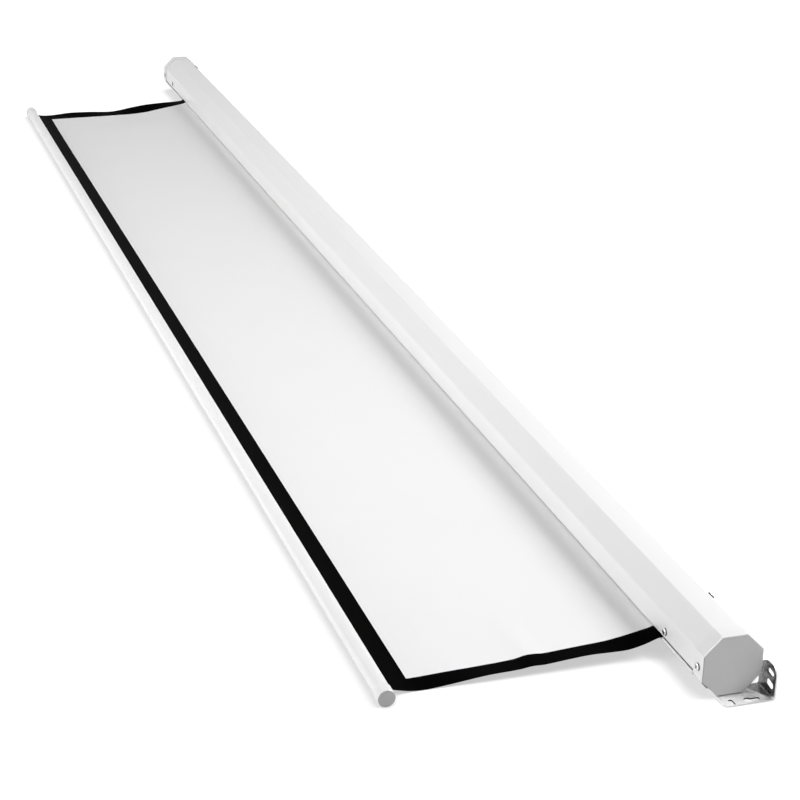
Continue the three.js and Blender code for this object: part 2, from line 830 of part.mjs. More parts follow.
function pawlPin(way) {
  const collarX = ratchetFlangeOuterX - fitGap;
  const pawlNear = ratchetX + pawlWidth / 2 + fitGap;
  const pawlFar = ratchetX - pawlWidth / 2 - fitGap;
  const geometry = turned(
    [
      [0, pawlFar - pawlPinHead],
      [pawlPinHeadRadius, pawlFar - pawlPinHead],
      [pawlPinHeadRadius, pawlFar],
      [pawlPinRadius, pawlFar],
      [pawlPinRadius, pawlNear],
      [pawlPinHeadRadius, pawlNear],
      [pawlPinHeadRadius, collarX],
      [pawlPinRadius, collarX],
      [pawlPinRadius, ratchetFlangeX - 2 * fitGap],
      [0, ratchetFlangeX - 2 * fitGap],
    ],
    pawlSides,
  );
  geometry.translate(0, way * pawlPivotRadius, 0);
  return tidy(geometry);
}

function springCollar() {
  return sleeve(
    spindleRadius + fitGap,
    springInnerRadius - fitGap,
    springFarX,
    springFarX + collarLength,
    rollerSides,
  );
}

function springAnchor() {
  const bossX = springNearX - collarLength;
  return turned(
    [
      [spindleRadius + fitGap, bossX],
      [springInnerRadius - fitGap, bossX],
      [springInnerRadius - fitGap, anchorX],
      [rollerInner - fitGap, anchorX],
      [rollerInner - fitGap, anchorX + anchorLength],
      [spindleRadius + fitGap, anchorX + anchorLength],
      [spindleRadius + fitGap, bossX],
    ],
    rollerSides,
  );
}

// The line that the fabric follows, seen along X: off the roll, through the slot, down and out to the bar.
const slotPoint = [lipCentre[0], axisHeight + slotMiddle];
const barSlotDirection = [Math.cos(barSlotAngle * degrees), Math.sin(barSlotAngle * degrees)];
const barMouth = [barY + barRadius * barSlotDirection[0], barZ + barRadius * barSlotDirection[1]];
const freeSpan = slotPoint[0] - barMouth[0];

function rollTangent() {
  const radius = rollRadius + fitGap + fabricThickness / 2;
  const reach = Math.hypot(slotPoint[0], slotMiddle);
  const angle = Math.atan2(slotMiddle, slotPoint[0]) + Math.acos(radius / reach);
  return [radius * Math.cos(angle), axisHeight + radius * Math.sin(angle)];
}

const drapeCurve = new THREE.CatmullRomCurve3(
  [
    ...drapeShares.map(
      ([span, height]) => new THREE.Vector3(0, slotPoint[0] - freeSpan * span, slotPoint[1] * height),
    ),
    new THREE.Vector3(0, barMouth[0], barMouth[1]),
  ],
  false,
  'centripetal',
);

// Height of the lying fabric at a share of the free span, found on the curve by halving.
function drapeHeight(share) {
  const target = slotPoint[0] - freeSpan * share;
  let low = 0;
  let high = 1;
  const halvings = 30;
  for (let i = 0; i < halvings; i += 1) {
    const middle = (low + high) / 2;
    if (drapeCurve.getPoint(middle).y > target) low = middle;
    else high = middle;
  }
  return drapeCurve.getPoint(low).z;
}

// How far the loose side edges stand up from the rest of the fabric.
function edgeLift(x, share) {
  const nearness = Math.max(0, (x - nearEdgeX + edgeLiftWidth) / edgeLiftWidth);
  const farness = Math.max(0, (farEdgeX + edgeLiftWidth - x) / edgeLiftWidth);
  const [from, to] = nearLiftShares;
  const nearShare = Math.min(1, Math.max(0, (share - from) / (to - from)));
  const nearWave = Math.sin(Math.PI * nearShare) ** 2;
  const farWave = Math.sin(Math.PI * farWaves * Math.min(1, Math.max(0, share))) ** 2;
  return nearEdgeLift * nearness ** 2 * nearWave + farEdgeLift * farness ** 2 * farWave;
}

const bottomStartShare = 1 - bottomBorder / freeSpan;
const rollPoint = rollTangent();
const hemRodCentre = [barY + hemRodOffset * barSlotDirection[0], barZ + hemRodOffset * barSlotDirection[1]];
const hemEnd = [
  hemRodCentre[0] + (hemRodRadius + fitGap) * barSlotDirection[0],
  hemRodCentre[1] + (hemRodRadius + fitGap) * barSlotDirection[1],
];

// Rows of the sheet as [y, z, share], from the roll to the bottom border, and on into the bar.
function upperRows() {
  const inside = [
    [rollPoint[0], rollPoint[1], 0],
    [(rollPoint[0] + slotPoint[0]) / 2, (rollPoint[1] + slotPoint[1]) / 2, 0],
  ];
  const shares = [...sheetRowShares, bottomStartShare - fitGap / freeSpan];
  return [...inside, ...shares.map((share) => [slotPoint[0] - freeSpan * share, drapeHeight(share), share])];
}

function lowerRows() {
  const rows = [];
  for (let i = 0; i <= bottomRows; i += 1) {
    const share = bottomStartShare + ((1 - bottomStartShare) * i) / bottomRows;
    rows.push([slotPoint[0] - freeSpan * share, drapeHeight(share), share]);
  }
  rows.push([hemEnd[0], hemEnd[1], 1]);
  return rows;
}

// A sheet of the fabric's thickness over rows along its length and columns across its width.
function sheet(rows, columns) {
  const positions = [];
  const half = fabricThickness / 2;
  rows.forEach(([y, z, share], j) => {
    const [before, after] = [rows[Math.max(0, j - 1)], rows[Math.min(rows.length - 1, j + 1)]];
    const along = new THREE.Vector2(after[0] - before[0], after[1] - before[1]).normalize();
    const normal = [along.y, -along.x];
    for (const x of columns) {
      const height = z + edgeLift(x, share);
      positions.push(x, y - normal[0] * half, height - normal[1] * half);
      positions.push(x, y + normal[0] * half, height + normal[1] * half);
    }
  });
  const across = columns.length;
  const corner = (i, j, level) => 2 * (j * across + i) + level;
  const index = [];
  const quad = (a, b, c, d) => index.push(a, b, c, a, c, d);
  for (let j = 0; j + 1 < rows.length; j += 1) {
    for (let i = 0; i + 1 < across; i += 1) {
      quad(corner(i, j, 0), corner(i + 1, j, 0), corner(i + 1, j + 1, 0), corner(i, j + 1, 0));
      quad(corner(i, j, 1), corner(i, j + 1, 1), corner(i + 1, j + 1, 1), corner(i + 1, j, 1));
    }
    quad(corner(0, j, 0), corner(0, j + 1, 0), corner(0, j + 1, 1), corner(0, j, 1));
    quad(corner(across - 1, j, 0), corner(across - 1, j, 1), corner(across - 1, j + 1, 1), corner(across - 1, j + 1, 0));
  }
  for (let i = 0; i + 1 < across; i += 1) {
    const last = rows.length - 1;
    quad(corner(i, 0, 0), corner(i, 0, 1), corner(i + 1, 0, 1), corner(i + 1, 0, 0));
    quad(corner(i, last, 0), corner(i + 1, last, 0), corner(i + 1, last, 1), corner(i, last, 1));
  }
  const geometry = new THREE.BufferGeometry();
  geometry.setAttribute('position', new THREE.Float32BufferAttribute(positions, 3));
  geometry.setIndex(index);
  return tidy(geometry);
}

function spread(fromX, toX, count, crowded) {
  return Array.from({ length: count + 1 }, (_, i) => {
    const share = i / count;
    const eased = crowded ? (1 - Math.cos(Math.PI * share)) / 2 : share;
    return fromX + (toX - fromX) * eased;
  });
}

const whiteNearX = nearEdgeX - sideBorder;
const whiteFarX = farEdgeX + sideBorder;

function barTube() {
  const points = [];
  const opening = Math.asin(barSlotHalf / barRadius) / degrees;
  const innerOpening = Math.asin(barSlotHalf / (barRadius - barWall)) / degrees;
  const ring = (radius, from, to) => {
    for (let i = 0; i <= barSides; i += 1) {
      const angle = (barSlotAngle + from + ((to - from) * i) / barSides) * degrees;
      points.push([barY + radius * Math.cos(angle), barZ + radius * Math.sin(angle)]);
    }
  };
  ring(barRadius, opening, 360 - opening);
  ring(barRadius - barWall, 360 - innerOpening, innerOpening);
  const inset = barCapEnd + fitGap;
  return prism(points, fabricOffset - barLength / 2 + inset, fabricOffset + barLength / 2 - inset);
}

// The cap for the near end of the bar, about the bar's own axis. The far one is turned round.
function barCap(side) {
  const inner = barCapRadius - barCapWall;
  const geometry = turned(
    [
      [0, -barCapEnd],
      [inner, -barCapEnd],
      [inner, -barCapDepth],
      [barCapRadius, -barCapDepth],
      [barCapRadius, -barCapBevel],
      [barCapRadius - barCapBevel, 0],
      [0, 0],
    ],
    barSides,
  );
  if (side < 0) geometry.rotateZ(Math.PI);
  return tidy(geometry);
}

const root = new THREE.Group();
root.position.y = rowShiftY;

function add(name, geometry, material, place = new THREE.Matrix4()) {
  const mesh = new THREE.Mesh(geometry, materials[material].clone());
  mesh.name = name;
  mesh.applyMatrix4(place);
  root.add(mesh);
}

const onAxis = new THREE.Matrix4().makeTranslation(0, 0, axisHeight);

add('casing_shell', casingShell(), 'paintedSteel', onAxis);
add('end_cap_near', endCap(1), 'capPlastic', onAxis);
add('end_cap_far', endCap(-1), 'capPlastic', onAxis);
add('bracket_near', bracket(1), 'zincPlate');
add('bracket_far', bracket(-1), 'zincPlate');
add('roller_support_near', rollerSupport(1, nearPlateX, roundBore(idlerPinRadius + fitGap)), 'zincPlate', onAxis);
add('roller_support_far', rollerSupport(-1, farPlateX, tangBore()), 'zincPlate', onAxis);

const rivetShape = rivet();
for (const { name, x, y } of rivetPlaces) {
  add(name, rivetShape, 'zincPlate', new THREE.Matrix4().makeTranslation(x, y, 0));
}

const screwShape = panHeadScrew();
for (const { name, part, x, angle, along } of screwPlaces) {
  const out = (part === 'cap' ? capHalf : casingHalf) + fitGap;
  add(name, screwShape, 'screwPlate', onAxis.clone().multiply(seat(x, angle, along, out)));
}

add('roller_tube', tidy(sleeve(rollerInner, rollerRadius, rollerFarX, rollerNearX, rollerSides)), 'rollerSteel', onAxis);
add('idler_plug', tidy(idlerPlug()), 'plugPlastic', onAxis);
add('idler_pin', tidy(idlerPin()), 'zincPlate', onAxis);
add('ratchet_plug', ratchetPlug(), 'plugPlastic', onAxis);
add('spring_spindle', springSpindle(), 'springSteel', onAxis);
add('ratchet_wheel', ratchetWheel(), 'zincPlate', onAxis);
add('pawl_rear', pawl(1), 'springSteel', onAxis);
add('pawl_front', pawl(-1), 'springSteel', onAxis);
add('pawl_pin_rear', pawlPin(1), 'zincPlate', onAxis);
add('pawl_pin_front', pawlPin(-1), 'zincPlate', onAxis);
add('spring_collar', tidy(springCollar()), 'zincPlate', onAxis);
add('spring_anchor', tidy(springAnchor()), 'plugPlastic', onAxis);
add(
  'torsion_spring',
  tidy(sleeve(springInnerRadius, springInnerRadius + springWire, springFarX, springNearX, rollerSides)),
  'springSteel',
  onAxis,
);
add(
  'rolled_fabric',
  tidy(sleeve(rollerRadius + fitGap, rollRadius, farEdgeX, nearEdgeX, rollerSides)),
  'screenFabric',
  onAxis,
);

const whiteColumns = spread(whiteFarX + fitGap / 2, whiteNearX - fitGap / 2, sheetColumns, true);
const nearColumns = spread(whiteNearX + fitGap / 2, nearEdgeX, borderColumns, false);
const farColumns = spread(farEdgeX, whiteFarX - fitGap / 2, borderColumns, false);
add('screen_sheet', sheet(upperRows(), whiteColumns), 'screenFabric');
add('side_border_near', sheet(upperRows(), nearColumns), 'borderFabric');
add('side_border_far', sheet(upperRows(), farColumns), 'borderFabric');
add('bottom_border', sheet(lowerRows(), spread(farEdgeX, nearEdgeX, sheetColumns, true)), 'borderFabric');

const hemRod = rod(hemRodRadius, farEdgeX, nearEdgeX, boreSides);
add('hem_rod', tidy(hemRod), 'plugPlastic', new THREE.Matrix4().makeTranslation(0, hemRodCentre[0], hemRodCentre[1]));
add('bottom_bar_tube', tidy(barTube()), 'barPaint');
for (const [end, side] of [
  ['near', 1],
  ['far', -1],
]) {
  const endX = fabricOffset + (side * barLength) / 2;
  add(`bar_cap_${end}`, barCap(side), 'barPlastic', new THREE.Matrix4().makeTranslation(endX, barY, barZ));
}

export default root;
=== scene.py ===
import bpy
import bmesh
import json
import math
from mathutils import Matrix, Vector


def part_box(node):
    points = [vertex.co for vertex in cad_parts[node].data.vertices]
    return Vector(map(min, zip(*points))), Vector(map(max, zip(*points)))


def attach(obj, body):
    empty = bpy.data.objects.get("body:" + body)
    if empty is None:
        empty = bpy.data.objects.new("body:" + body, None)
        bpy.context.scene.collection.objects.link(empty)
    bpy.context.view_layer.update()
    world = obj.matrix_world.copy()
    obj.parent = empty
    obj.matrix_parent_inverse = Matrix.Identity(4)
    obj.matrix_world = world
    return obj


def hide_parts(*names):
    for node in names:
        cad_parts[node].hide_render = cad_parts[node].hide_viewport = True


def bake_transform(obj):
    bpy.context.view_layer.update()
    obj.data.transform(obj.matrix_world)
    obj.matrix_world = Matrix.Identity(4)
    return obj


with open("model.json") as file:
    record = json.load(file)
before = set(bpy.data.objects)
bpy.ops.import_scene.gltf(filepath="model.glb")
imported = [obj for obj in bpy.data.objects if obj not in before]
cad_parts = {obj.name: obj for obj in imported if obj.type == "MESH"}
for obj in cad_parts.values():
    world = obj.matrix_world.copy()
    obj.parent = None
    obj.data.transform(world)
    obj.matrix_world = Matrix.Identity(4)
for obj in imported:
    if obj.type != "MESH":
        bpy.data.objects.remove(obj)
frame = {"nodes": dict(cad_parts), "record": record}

mm = 0.001
weld = 0.001 * mm  # points closer than this are merged
hair = 0.01 * mm  # two small distances, to tell what lies beside something
close = 0.1 * mm
square = 0.99  # a face whose normal reaches this share along an axis is square to it
flush = 0.05  # and one whose normal stays under this share runs along it
endShare = 0.49  # what lies further from a piece's middle, as a share of its depth, is at its end
sideAngle = math.radians(22.5)  # half of one of the casing's eight sides
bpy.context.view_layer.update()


def middleOf(node):
    low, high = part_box(node)
    return (low + high) / 2


axisLine = middleOf("roller_tube")
print("screen frame loaded")


class Wire:  # a node's output, so that shader sums read as plain arithmetic
    def __init__(self, wiring, socket):
        self.wiring = wiring
        self.socket = socket

    def maths(self, operation, first, second):
        return self.wiring.node("ShaderNodeMath", {"operation": operation}, {0: first, 1: second})

    def __add__(self, other):
        return self.maths("ADD", self, other)

    def __mul__(self, other):
        return self.maths("MULTIPLY", self, other)

    def __sub__(self, other):
        return self.maths("SUBTRACT", self, other)

    def __rsub__(self, other):
        return self.maths("SUBTRACT", other, self)

    def most(self, other):
        return self.maths("MAXIMUM", self, other)

    def rise(self, low, high):  # from 0 at low to 1 at high, eased at both ends
        settings = {"interpolation_type": "SMOOTHSTEP", "clamp": True}
        inputs = {"Value": self, "From Min": low, "From Max": high}
        return self.wiring.node("ShaderNodeMapRange", settings, inputs)

    __radd__ = __add__
    __rmul__ = __mul__


class Wiring:  # a tree of nodes, each added by one call
    def __init__(self, tree):
        self.tree = tree

    def node(self, kind, settings=None, inputs=None, output=0):
        made = self.tree.nodes.new(kind)
        for key, value in (settings or {}).items():
            setattr(made, key, value)
        for key, value in (inputs or {}).items():
            self.feed(made.inputs[key], value)
        return Wire(self, made.outputs[output]) if made.outputs else None

    def feed(self, socket, value):
        if isinstance(value, Wire):
            self.tree.links.new(value.socket, socket)
        else:
            socket.default_value = value

    def seenDirectly(self):  # 1 for what the camera sees straight, in a mirror or through glass
        rays = [f"Is {ray} Ray" for ray in ("Camera", "Glossy", "Transmission")]
        camera, glossy, through = (self.node("ShaderNodeLightPath", output=ray) for ray in rays)
        return camera.most(glossy).most(through)


class Finish(Wiring):  # a material of one shader, whose steady values are set on its own sockets
    def __init__(self, name, **steady):
        self.material = bpy.data.materials.new(name)
        self.material.use_nodes = True
        super().__init__(self.material.node_tree)
        self.shader = self.tree.nodes["Principled BSDF"]
        for socket, value in steady.items():
            socket = socket.replace("_", " ").title().replace("Ior", "IOR")
            self.shader.inputs[socket].default_value = value
        self.material.diffuse_color = steady["base_color"]

    def give(self, socket, value):
        self.feed(self.shader.inputs[socket], value)

    def place(self, output="Object"):
        return self.node("ShaderNodeTexCoord", output=output)

    def axis(self, letter):
        return self.node("ShaderNodeSeparateXYZ", inputs={"Vector": self.place()}, output=letter)

    def marked(self, name):  # what the piece's own mesh says of its surface
        return self.node("ShaderNodeAttribute", {"attribute_name": name}, output="Fac")

    def noise(self, scale, detail=2, place=None, rough=0.5):
        inputs = {"Scale": scale, "Detail": detail, "Roughness": rough, "Vector": place or self.place()}
        return self.node("ShaderNodeTexNoise", inputs=inputs, output="Fac")

    def stretch(self, place, scale):
        return self.node("ShaderNodeMapping", inputs={"Vector": place, "Scale": scale})

    def mixed(self, factor, dark, light):  # sockets 6 and 7 take the colours, and 2 gives the mixed one
        return self.node("ShaderNodeMix", {"data_type": "RGBA"}, {0: factor, 6: dark, 7: light}, 2)

    def tone(self, factor, dark, light):
        self.give("Base Color", self.mixed(factor, dark, light))

    def gloss(self, value):
        self.give("Roughness", value)

    def relief(self, height, strength, distance):
        inputs = {"Height": height, "Strength": strength, "Distance": distance}
        self.give("Normal", self.node("ShaderNodeBump", inputs=inputs))


def shade(value, tint=(1, 1, 1)):
    return (value * tint[0], value * tint[1], value * tint[2], 1)


def tinted(colour, share):
    return tuple(c * share for c in colour[:3]) + (1,)


# Powder coat: a satin white with a faint pebbled skin; the inside of a rolled sheet is dark primer, deepened
# as painted shade
def powderCoat(name, white, pebble, primerAndShade=None):
    coat = Finish(name, base_color=shade(white), roughness=0.38, specular_ior_level=0.45, coat_weight=0.12,
                  coat_roughness=0.3)
    wide = coat.noise(scale=7, detail=3)
    fine = coat.noise(pebble)
    outside = coat.mixed(wide, shade(white * 0.985), shade(white * 1.01))
    if primerAndShade is None:
        coat.give("Base Color", outside)
    else:
        # the sheet's inner side: a primer, painted darker still as the shade inside the slot
        coat.tone(coat.marked("innerWall"), outside, shade(primerAndShade, (1, 1.01, 1.03)))
    coat.gloss(0.33 + wide * 0.1 + fine * 0.03)
    coat.relief(fine, strength=0.12, distance=0.06 * mm)
    return coat.material


def mouldedPlastic(name, colour, rough, grain, rim=None):
    plastic = Finish(name, base_color=colour, roughness=rough, specular_ior_level=0.4, coat_ior=2.2,
                     coat_roughness=0.2)
    cloud = plastic.noise(scale=30)
    grains = plastic.noise(grain, detail=1)
    body = plastic.mixed(cloud, tinted(colour, 0.975), tinted(colour, 1.02))
    if rim is None:
        plastic.give("Base Color", body)
        plastic.gloss(rough - 0.04 + grains * 0.1)
    else:  # the rim is painted whiter as a highlight and made smoother than the face, and a mark below nothing paints shade
        rimMark = plastic.marked("rim")
        rimHighlight = rimMark.most(0)
        plastic.tone(rimMark, plastic.mixed(rimMark * -1, body, tinted(colour, 0.2)), rim)
        plastic.gloss(rough - 0.04 + grains * 0.1 - rimHighlight * 0.2)
        plastic.give("Coat Weight", rimHighlight)
    plastic.relief(grains, strength=0.15, distance=0.05 * mm)
    return plastic.material


def platedSteel(name, colour, rough, lines):
    steel = Finish(name, base_color=colour, metallic=1.0, roughness=rough)
    place = steel.place()
    rolled = steel.noise(scale=55, detail=3, place=steel.stretch(place, lines), rough=0.6)
    cloud = steel.noise(scale=140, detail=3, place=place, rough=0.6)
    steel.tone(cloud, tinted(colour, 0.86), colour)
    steel.gloss(rough - 0.1 + rolled * 0.14 + cloud * 0.1)
    steel.relief(rolled, strength=0.1, distance=0.04 * mm)
    return steel.material


# Pale zinc on the flat flange, painted dark and streaked as reflection and shade where the strip was bent and
# stands up; its cut edges are painted pale as reflection
zincMake = {
    "flatEnd": 1248 * mm,  # from here outwards the pale part reaches further round the bend
    "lean": 0.72,
    "turn": (15.5 * mm, 20.5 * mm),
    "ragged": 5 * mm,
}


def bentZinc(name, pale, dark):
    make = zincMake
    zinc = Finish(name, base_color=pale, metallic=1.0, roughness=0.3)
    place = zinc.place()
    across = zinc.node("ShaderNodeMath", {"operation": "ABSOLUTE"}, {0: zinc.axis("X")})
    # the part painted dark as reflection and shade begins at a slanting line across the flat flange
    along = zinc.axis("Y") - axisLine.y + zinc.axis("Z") - (across - make["flatEnd"]) * make["lean"]
    maskNoise = zinc.noise(scale=160, detail=3, place=place, rough=0.6)
    bent = (along + maskNoise * make["ragged"]).rise(*make["turn"])
    streaks = zinc.noise(scale=330, detail=4, place=zinc.stretch(place, (1, 1, 0.35)), rough=0.65)
    spangle = zinc.noise(scale=120, detail=3, place=place, rough=0.6)
    flat = zinc.mixed(spangle, tinted(pale, 0.95), pale)
    upright = zinc.mixed(streaks.rise(0.32, 0.72), dark, tinted(dark, 2.6))
    # cut edges painted pale as reflection, hole walls in the flat flange painted nearly black as shade
    cut = zinc.marked("cutEdge")
    sheet = zinc.mixed(cut, zinc.mixed(bent, flat, upright), pale)
    zinc.tone(zinc.marked("holeWall"), sheet, tinted(dark, 0.12))
    # the painted dark part, less its cut edges, is also more metallic and glossier
    turned = bent * (1 - cut)
    zinc.give("Metallic", 0.25 + turned * 0.75)
    zinc.gloss(0.4 - turned * 0.16 + spangle * 0.1)
    zinc.relief(streaks * bent + spangle, strength=0.15, distance=0.05 * mm)
    return zinc.material


# Screws: bright heads, painted dark as shade in the cross recess and round the foot
def screwSteel(name, colour, paintedShade):
    steel = Finish(name, base_color=colour, metallic=1.0, roughness=0.3)
    worn = steel.noise(scale=420, detail=3)
    plated = steel.mixed(worn, tinted(colour, 0.8), colour)
    # painted shade: near black in the cross recess and round the foot
    shadeMask = steel.marked("paintedShade")
    steel.tone(shadeMask, plated, paintedShade)
    steel.gloss(0.24 + worn * 0.12 + shadeMask * 0.35)
    steel.relief(worn, strength=0.1, distance=0.03 * mm)
    return steel.material


# Coated screen cloth: two crossed sets of threads on the cloth's own map, in metres
def wovenCloth(name, colour, rough, thread, relief, **steady):
    cloth = Finish(name, base_color=colour, roughness=rough, **steady)
    place = cloth.place("UV")
    wave = {"wave_type": "BANDS", "wave_profile": "SIN"}
    bands = math.pi / 10 / thread  # the scale at which one band is as wide as a thread
    inputs = {"Vector": place, "Scale": bands, "Distortion": 0.8, "Detail": 1.0, "Detail Scale": 3.0}
    across = cloth.node("ShaderNodeTexWave", {**wave, "bands_direction": "X"}, inputs, "Fac")
    along = cloth.node("ShaderNodeTexWave", {**wave, "bands_direction": "Y"}, inputs, "Fac")
    cloud = cloth.noise(scale=9, detail=3, place=place)
    cloth.tone(cloud, tinted(colour, 0.985), tinted(colour, 1.01))
    cloth.gloss(rough - 0.05 + cloud * 0.08)
    cloth.relief(across * along, relief, distance=0.1 * mm)
    return cloth.material


casingPaint = powderCoat("casingPaint", white=0.87, pebble=700, primerAndShade=0.07)
barPaint = powderCoat("barPaint", white=0.88, pebble=900)
# the rim colour given here is a painted highlight
capPlastic = mouldedPlastic("capPlastic", shade(0.86), rough=0.42, grain=2500, rim=shade(0.97))
barPlastic = mouldedPlastic("barPlastic", shade(0.86), rough=0.4, grain=2600, rim=shade(0.97))
plugPlastic = mouldedPlastic("plugPlastic", shade(0.022), rough=0.5, grain=1500)
woundCloth = mouldedPlastic("woundCloth", shade(0.86), rough=0.7, grain=400)
# its dark colour is painted reflection and shade
zincSheet = bentZinc("zincSheet", pale=(0.96, 0.96, 0.955, 1), dark=(0.095, 0.095, 0.098, 1))
supportZinc = platedSteel("supportZinc", (0.80, 0.80, 0.79, 1), rough=0.3, lines=(1, 6, 1))
screwZinc = screwSteel("screwZinc", (0.82, 0.82, 0.81, 1), paintedShade=shade(0.012))
rollerZinc = platedSteel("rollerZinc", (0.55, 0.56, 0.57, 1), rough=0.42, lines=(0.2, 8, 8))
springSteel = platedSteel("springSteel", (0.23, 0.23, 0.24, 1), rough=0.35, lines=(9, 1, 1))
whiteCloth = wovenCloth("whiteCloth", shade(0.9), rough=0.75, thread=0.5 * mm, relief=0.06,
                        specular_ior_level=0.25)
blackCloth = wovenCloth("blackCloth", shade(0.0006), rough=0.5, thread=1.1 * mm, relief=0.5, ior=1.035)
print("finishes made")


# Every piece that is kept from the frame gets its own finish
keptFinishes = {
    "zinc_plate": supportZinc,
    "screw_plate": screwZinc,
    "roller_steel": rollerZinc,
    "plug_plastic": plugPlastic,
    "spring_steel": springSteel,
    "screen_fabric": whiteCloth,
    "border_fabric": blackCloth,
    "casing_paint": casingPaint,
    "cap_plastic": capPlastic,
    "bar_paint": barPaint,
    "bar_plastic": barPlastic,
}
for part in frame["record"]["subparts"]:
    kept = frame["nodes"][part["node"]].data.materials
    kept.clear()
    kept.append(woundCloth if part["node"] == "rolled_fabric" else keptFinishes[part["material_slot"]])


def pickNone():
    if bpy.context.object and bpy.context.object.mode == "EDIT":
        bpy.ops.object.mode_set(mode="OBJECT")
    bpy.ops.object.select_all(action="DESELECT")


def pickOnly(piece):
    pickNone()
    piece.select_set(True)
    bpy.context.view_layer.objects.active = piece


def editing(piece):
    pickOnly(piece)
    bpy.ops.object.mode_set(mode="EDIT")


def choose(piece, kind, test):
    modes = {"verts": "VERT", "edges": "EDGE", "faces": "FACE"}
    bpy.ops.mesh.select_all(action="DESELECT")
    bpy.ops.mesh.select_mode(type=modes[kind])
    mesh = bmesh.from_edit_mesh(piece.data)
    for part in getattr(mesh, kind):
        if test(part):
            part.select_set(True)
    bmesh.update_edit_mesh(piece.data)


def middle(part):
    return sum((v.co for v in part.verts), Vector()) / len(part.verts)


def alongX(edge):
    return abs(edge.verts[0].co.x - edge.verts[1].co.x)


def moveBy(x=0, y=0, z=0):
    bpy.ops.transform.translate(value=(x, y, z))


def drawOut(x=0, y=0, z=0):
    bpy.ops.mesh.extrude_region_move(TRANSFORM_OT_translate={"value": (x, y, z)})


# A line in the plane across the casing: it starts as one point and is drawn on from there
def startLine(name, point):
    pickNone()
    bpy.ops.mesh.primitive_plane_add(size=mm, location=(0, 0, 0))
    piece = bpy.context.object
    piece.name = piece.data.name = name
    bpy.ops.object.mode_set(mode="EDIT")
    bpy.ops.mesh.select_mode(type="VERT")
    bpy.ops.mesh.select_all(action="SELECT")
    bpy.ops.mesh.merge(type="CENTER")
    moveBy(*point)
    return piece


def drawTo(piece, *points):
    for point in points:
        lineEnd = next(v.co.copy() for v in bmesh.from_edit_mesh(piece.data).verts if v.select)
        bpy.ops.mesh.extrude_vertices_move(TRANSFORM_OT_translate={"value": Vector(point) - lineEnd})


def drawArc(centre, turn, steps):
    way = -1 if turn > 0 else 1
    bpy.ops.mesh.spin(steps=steps, angle=math.radians(abs(turn)), center=centre, axis=(way, 0, 0))


def sweepX(length):
    bpy.ops.mesh.select_all(action="SELECT")
    drawOut(x=length)


def apply(piece, kind, **settings):
    pickOnly(piece)
    modifier = piece.modifiers.new(kind.title(), kind)
    for key, value in settings.items():
        setattr(modifier, key, value)
    bpy.ops.object.modifier_apply(modifier=modifier.name)


def thicken(piece, wall):
    apply(piece, "SOLIDIFY", thickness=wall, offset=-1, use_even_offset=True)


def mergeDoubles(piece, gap):
    editing(piece)
    bpy.ops.mesh.select_all(action="SELECT")
    bpy.ops.mesh.remove_doubles(threshold=gap)


def faceOut(piece):
    mergeDoubles(piece, weld)
    bpy.ops.mesh.normals_make_consistent(inside=False)
    bpy.ops.object.mode_set(mode="OBJECT")


def settle(piece, finish, smooth=30):
    pickOnly(piece)
    bpy.ops.object.transform_apply(location=True, rotation=True, scale=True)
    bpy.ops.object.shade_smooth_by_angle(angle=math.radians(smooth))
    piece.data.materials.clear()
    piece.data.materials.append(finish)


def mark(piece, name, domain, values):
    made = piece.data.attributes.new(name, "FLOAT", domain)
    made.data.foreach_set("value", values)


def cutAway(piece, cutters):
    for cutter in cutters:
        apply(piece, "BOOLEAN", operation="DIFFERENCE", solver="EXACT", object=cutter)
        bpy.data.objects.remove(cutter)


# The casing: one rolled sheet with a slot at its lower front corner and a round bead below the slot
casingMake = {
    "wall": 0.8 * mm,
    "bendRadius": 1.3 * mm,
    "bendSteps": 4,
    "returnDepth": 4.0 * mm,  # how far the sheet turns in above the slot
    "slotTop": -11.95 * mm,
    "beadRadius": 1.5 * mm,
    "beadCentre": (-31.717 * mm, -14.528 * mm),
    "beadStart": -17.2,  # degrees from +Y
    "beadTurn": -262,
    "beadSteps": 22,
    "beadEnd": 1245.6 * mm,
    "primerFrom": 0.6,  # the share of the wall past which a face is the sheet's inner side
}


def acrossCasing(y, z, x=0.0):
    return (x, axisLine.y + y, axisLine.z + z)


def rollSheet(low, high, seam):
    make = casingMake
    half = high.y - axisLine.y
    corner = half * math.tan(sideAngle)
    length = high.x - low.x
    ring = [(-half, make["slotTop"]), (-half, corner), (-corner, half), (corner, half), (half, corner),
            (half, -corner), (corner, -half), (-corner, -half), seam]
    shell = startLine("casingShell", acrossCasing(-half + make["returnDepth"], make["slotTop"], low.x))
    drawTo(shell, *[acrossCasing(y, z, low.x) for y, z in ring])
    sweepX(length)
    choose(shell, "edges", lambda e: alongX(e) > length / 2 and len(e.link_faces) == 2)
    bpy.ops.mesh.bevel(offset=make["bendRadius"], segments=make["bendSteps"], affect="EDGES")
    faceOut(shell)
    thicken(shell, make["wall"])
    inside = half - make["wall"] * make["primerFrom"]
    places = [p.center - axisLine for p in shell.data.polygons]
    reaches = [max(abs(c.y), abs(c.z), (abs(c.y) + abs(c.z)) * math.sqrt(0.5)) for c in places]
    mark(shell, "innerWall", "FACE", [float(reach < inside) for reach in reaches])
    return shell


def rollBead(seam):
    make = casingMake
    start = -make["beadEnd"]
    bead = startLine("casingBead", acrossCasing(*seam, x=start))
    drawArc(acrossCasing(*make["beadCentre"], start), make["beadTurn"], make["beadSteps"])
    sweepX(2 * make["beadEnd"])
    faceOut(bead)
    thicken(bead, make["wall"])
    mark(bead, "innerWall", "FACE", [0.0] * len(bead.data.polygons))
    return bead


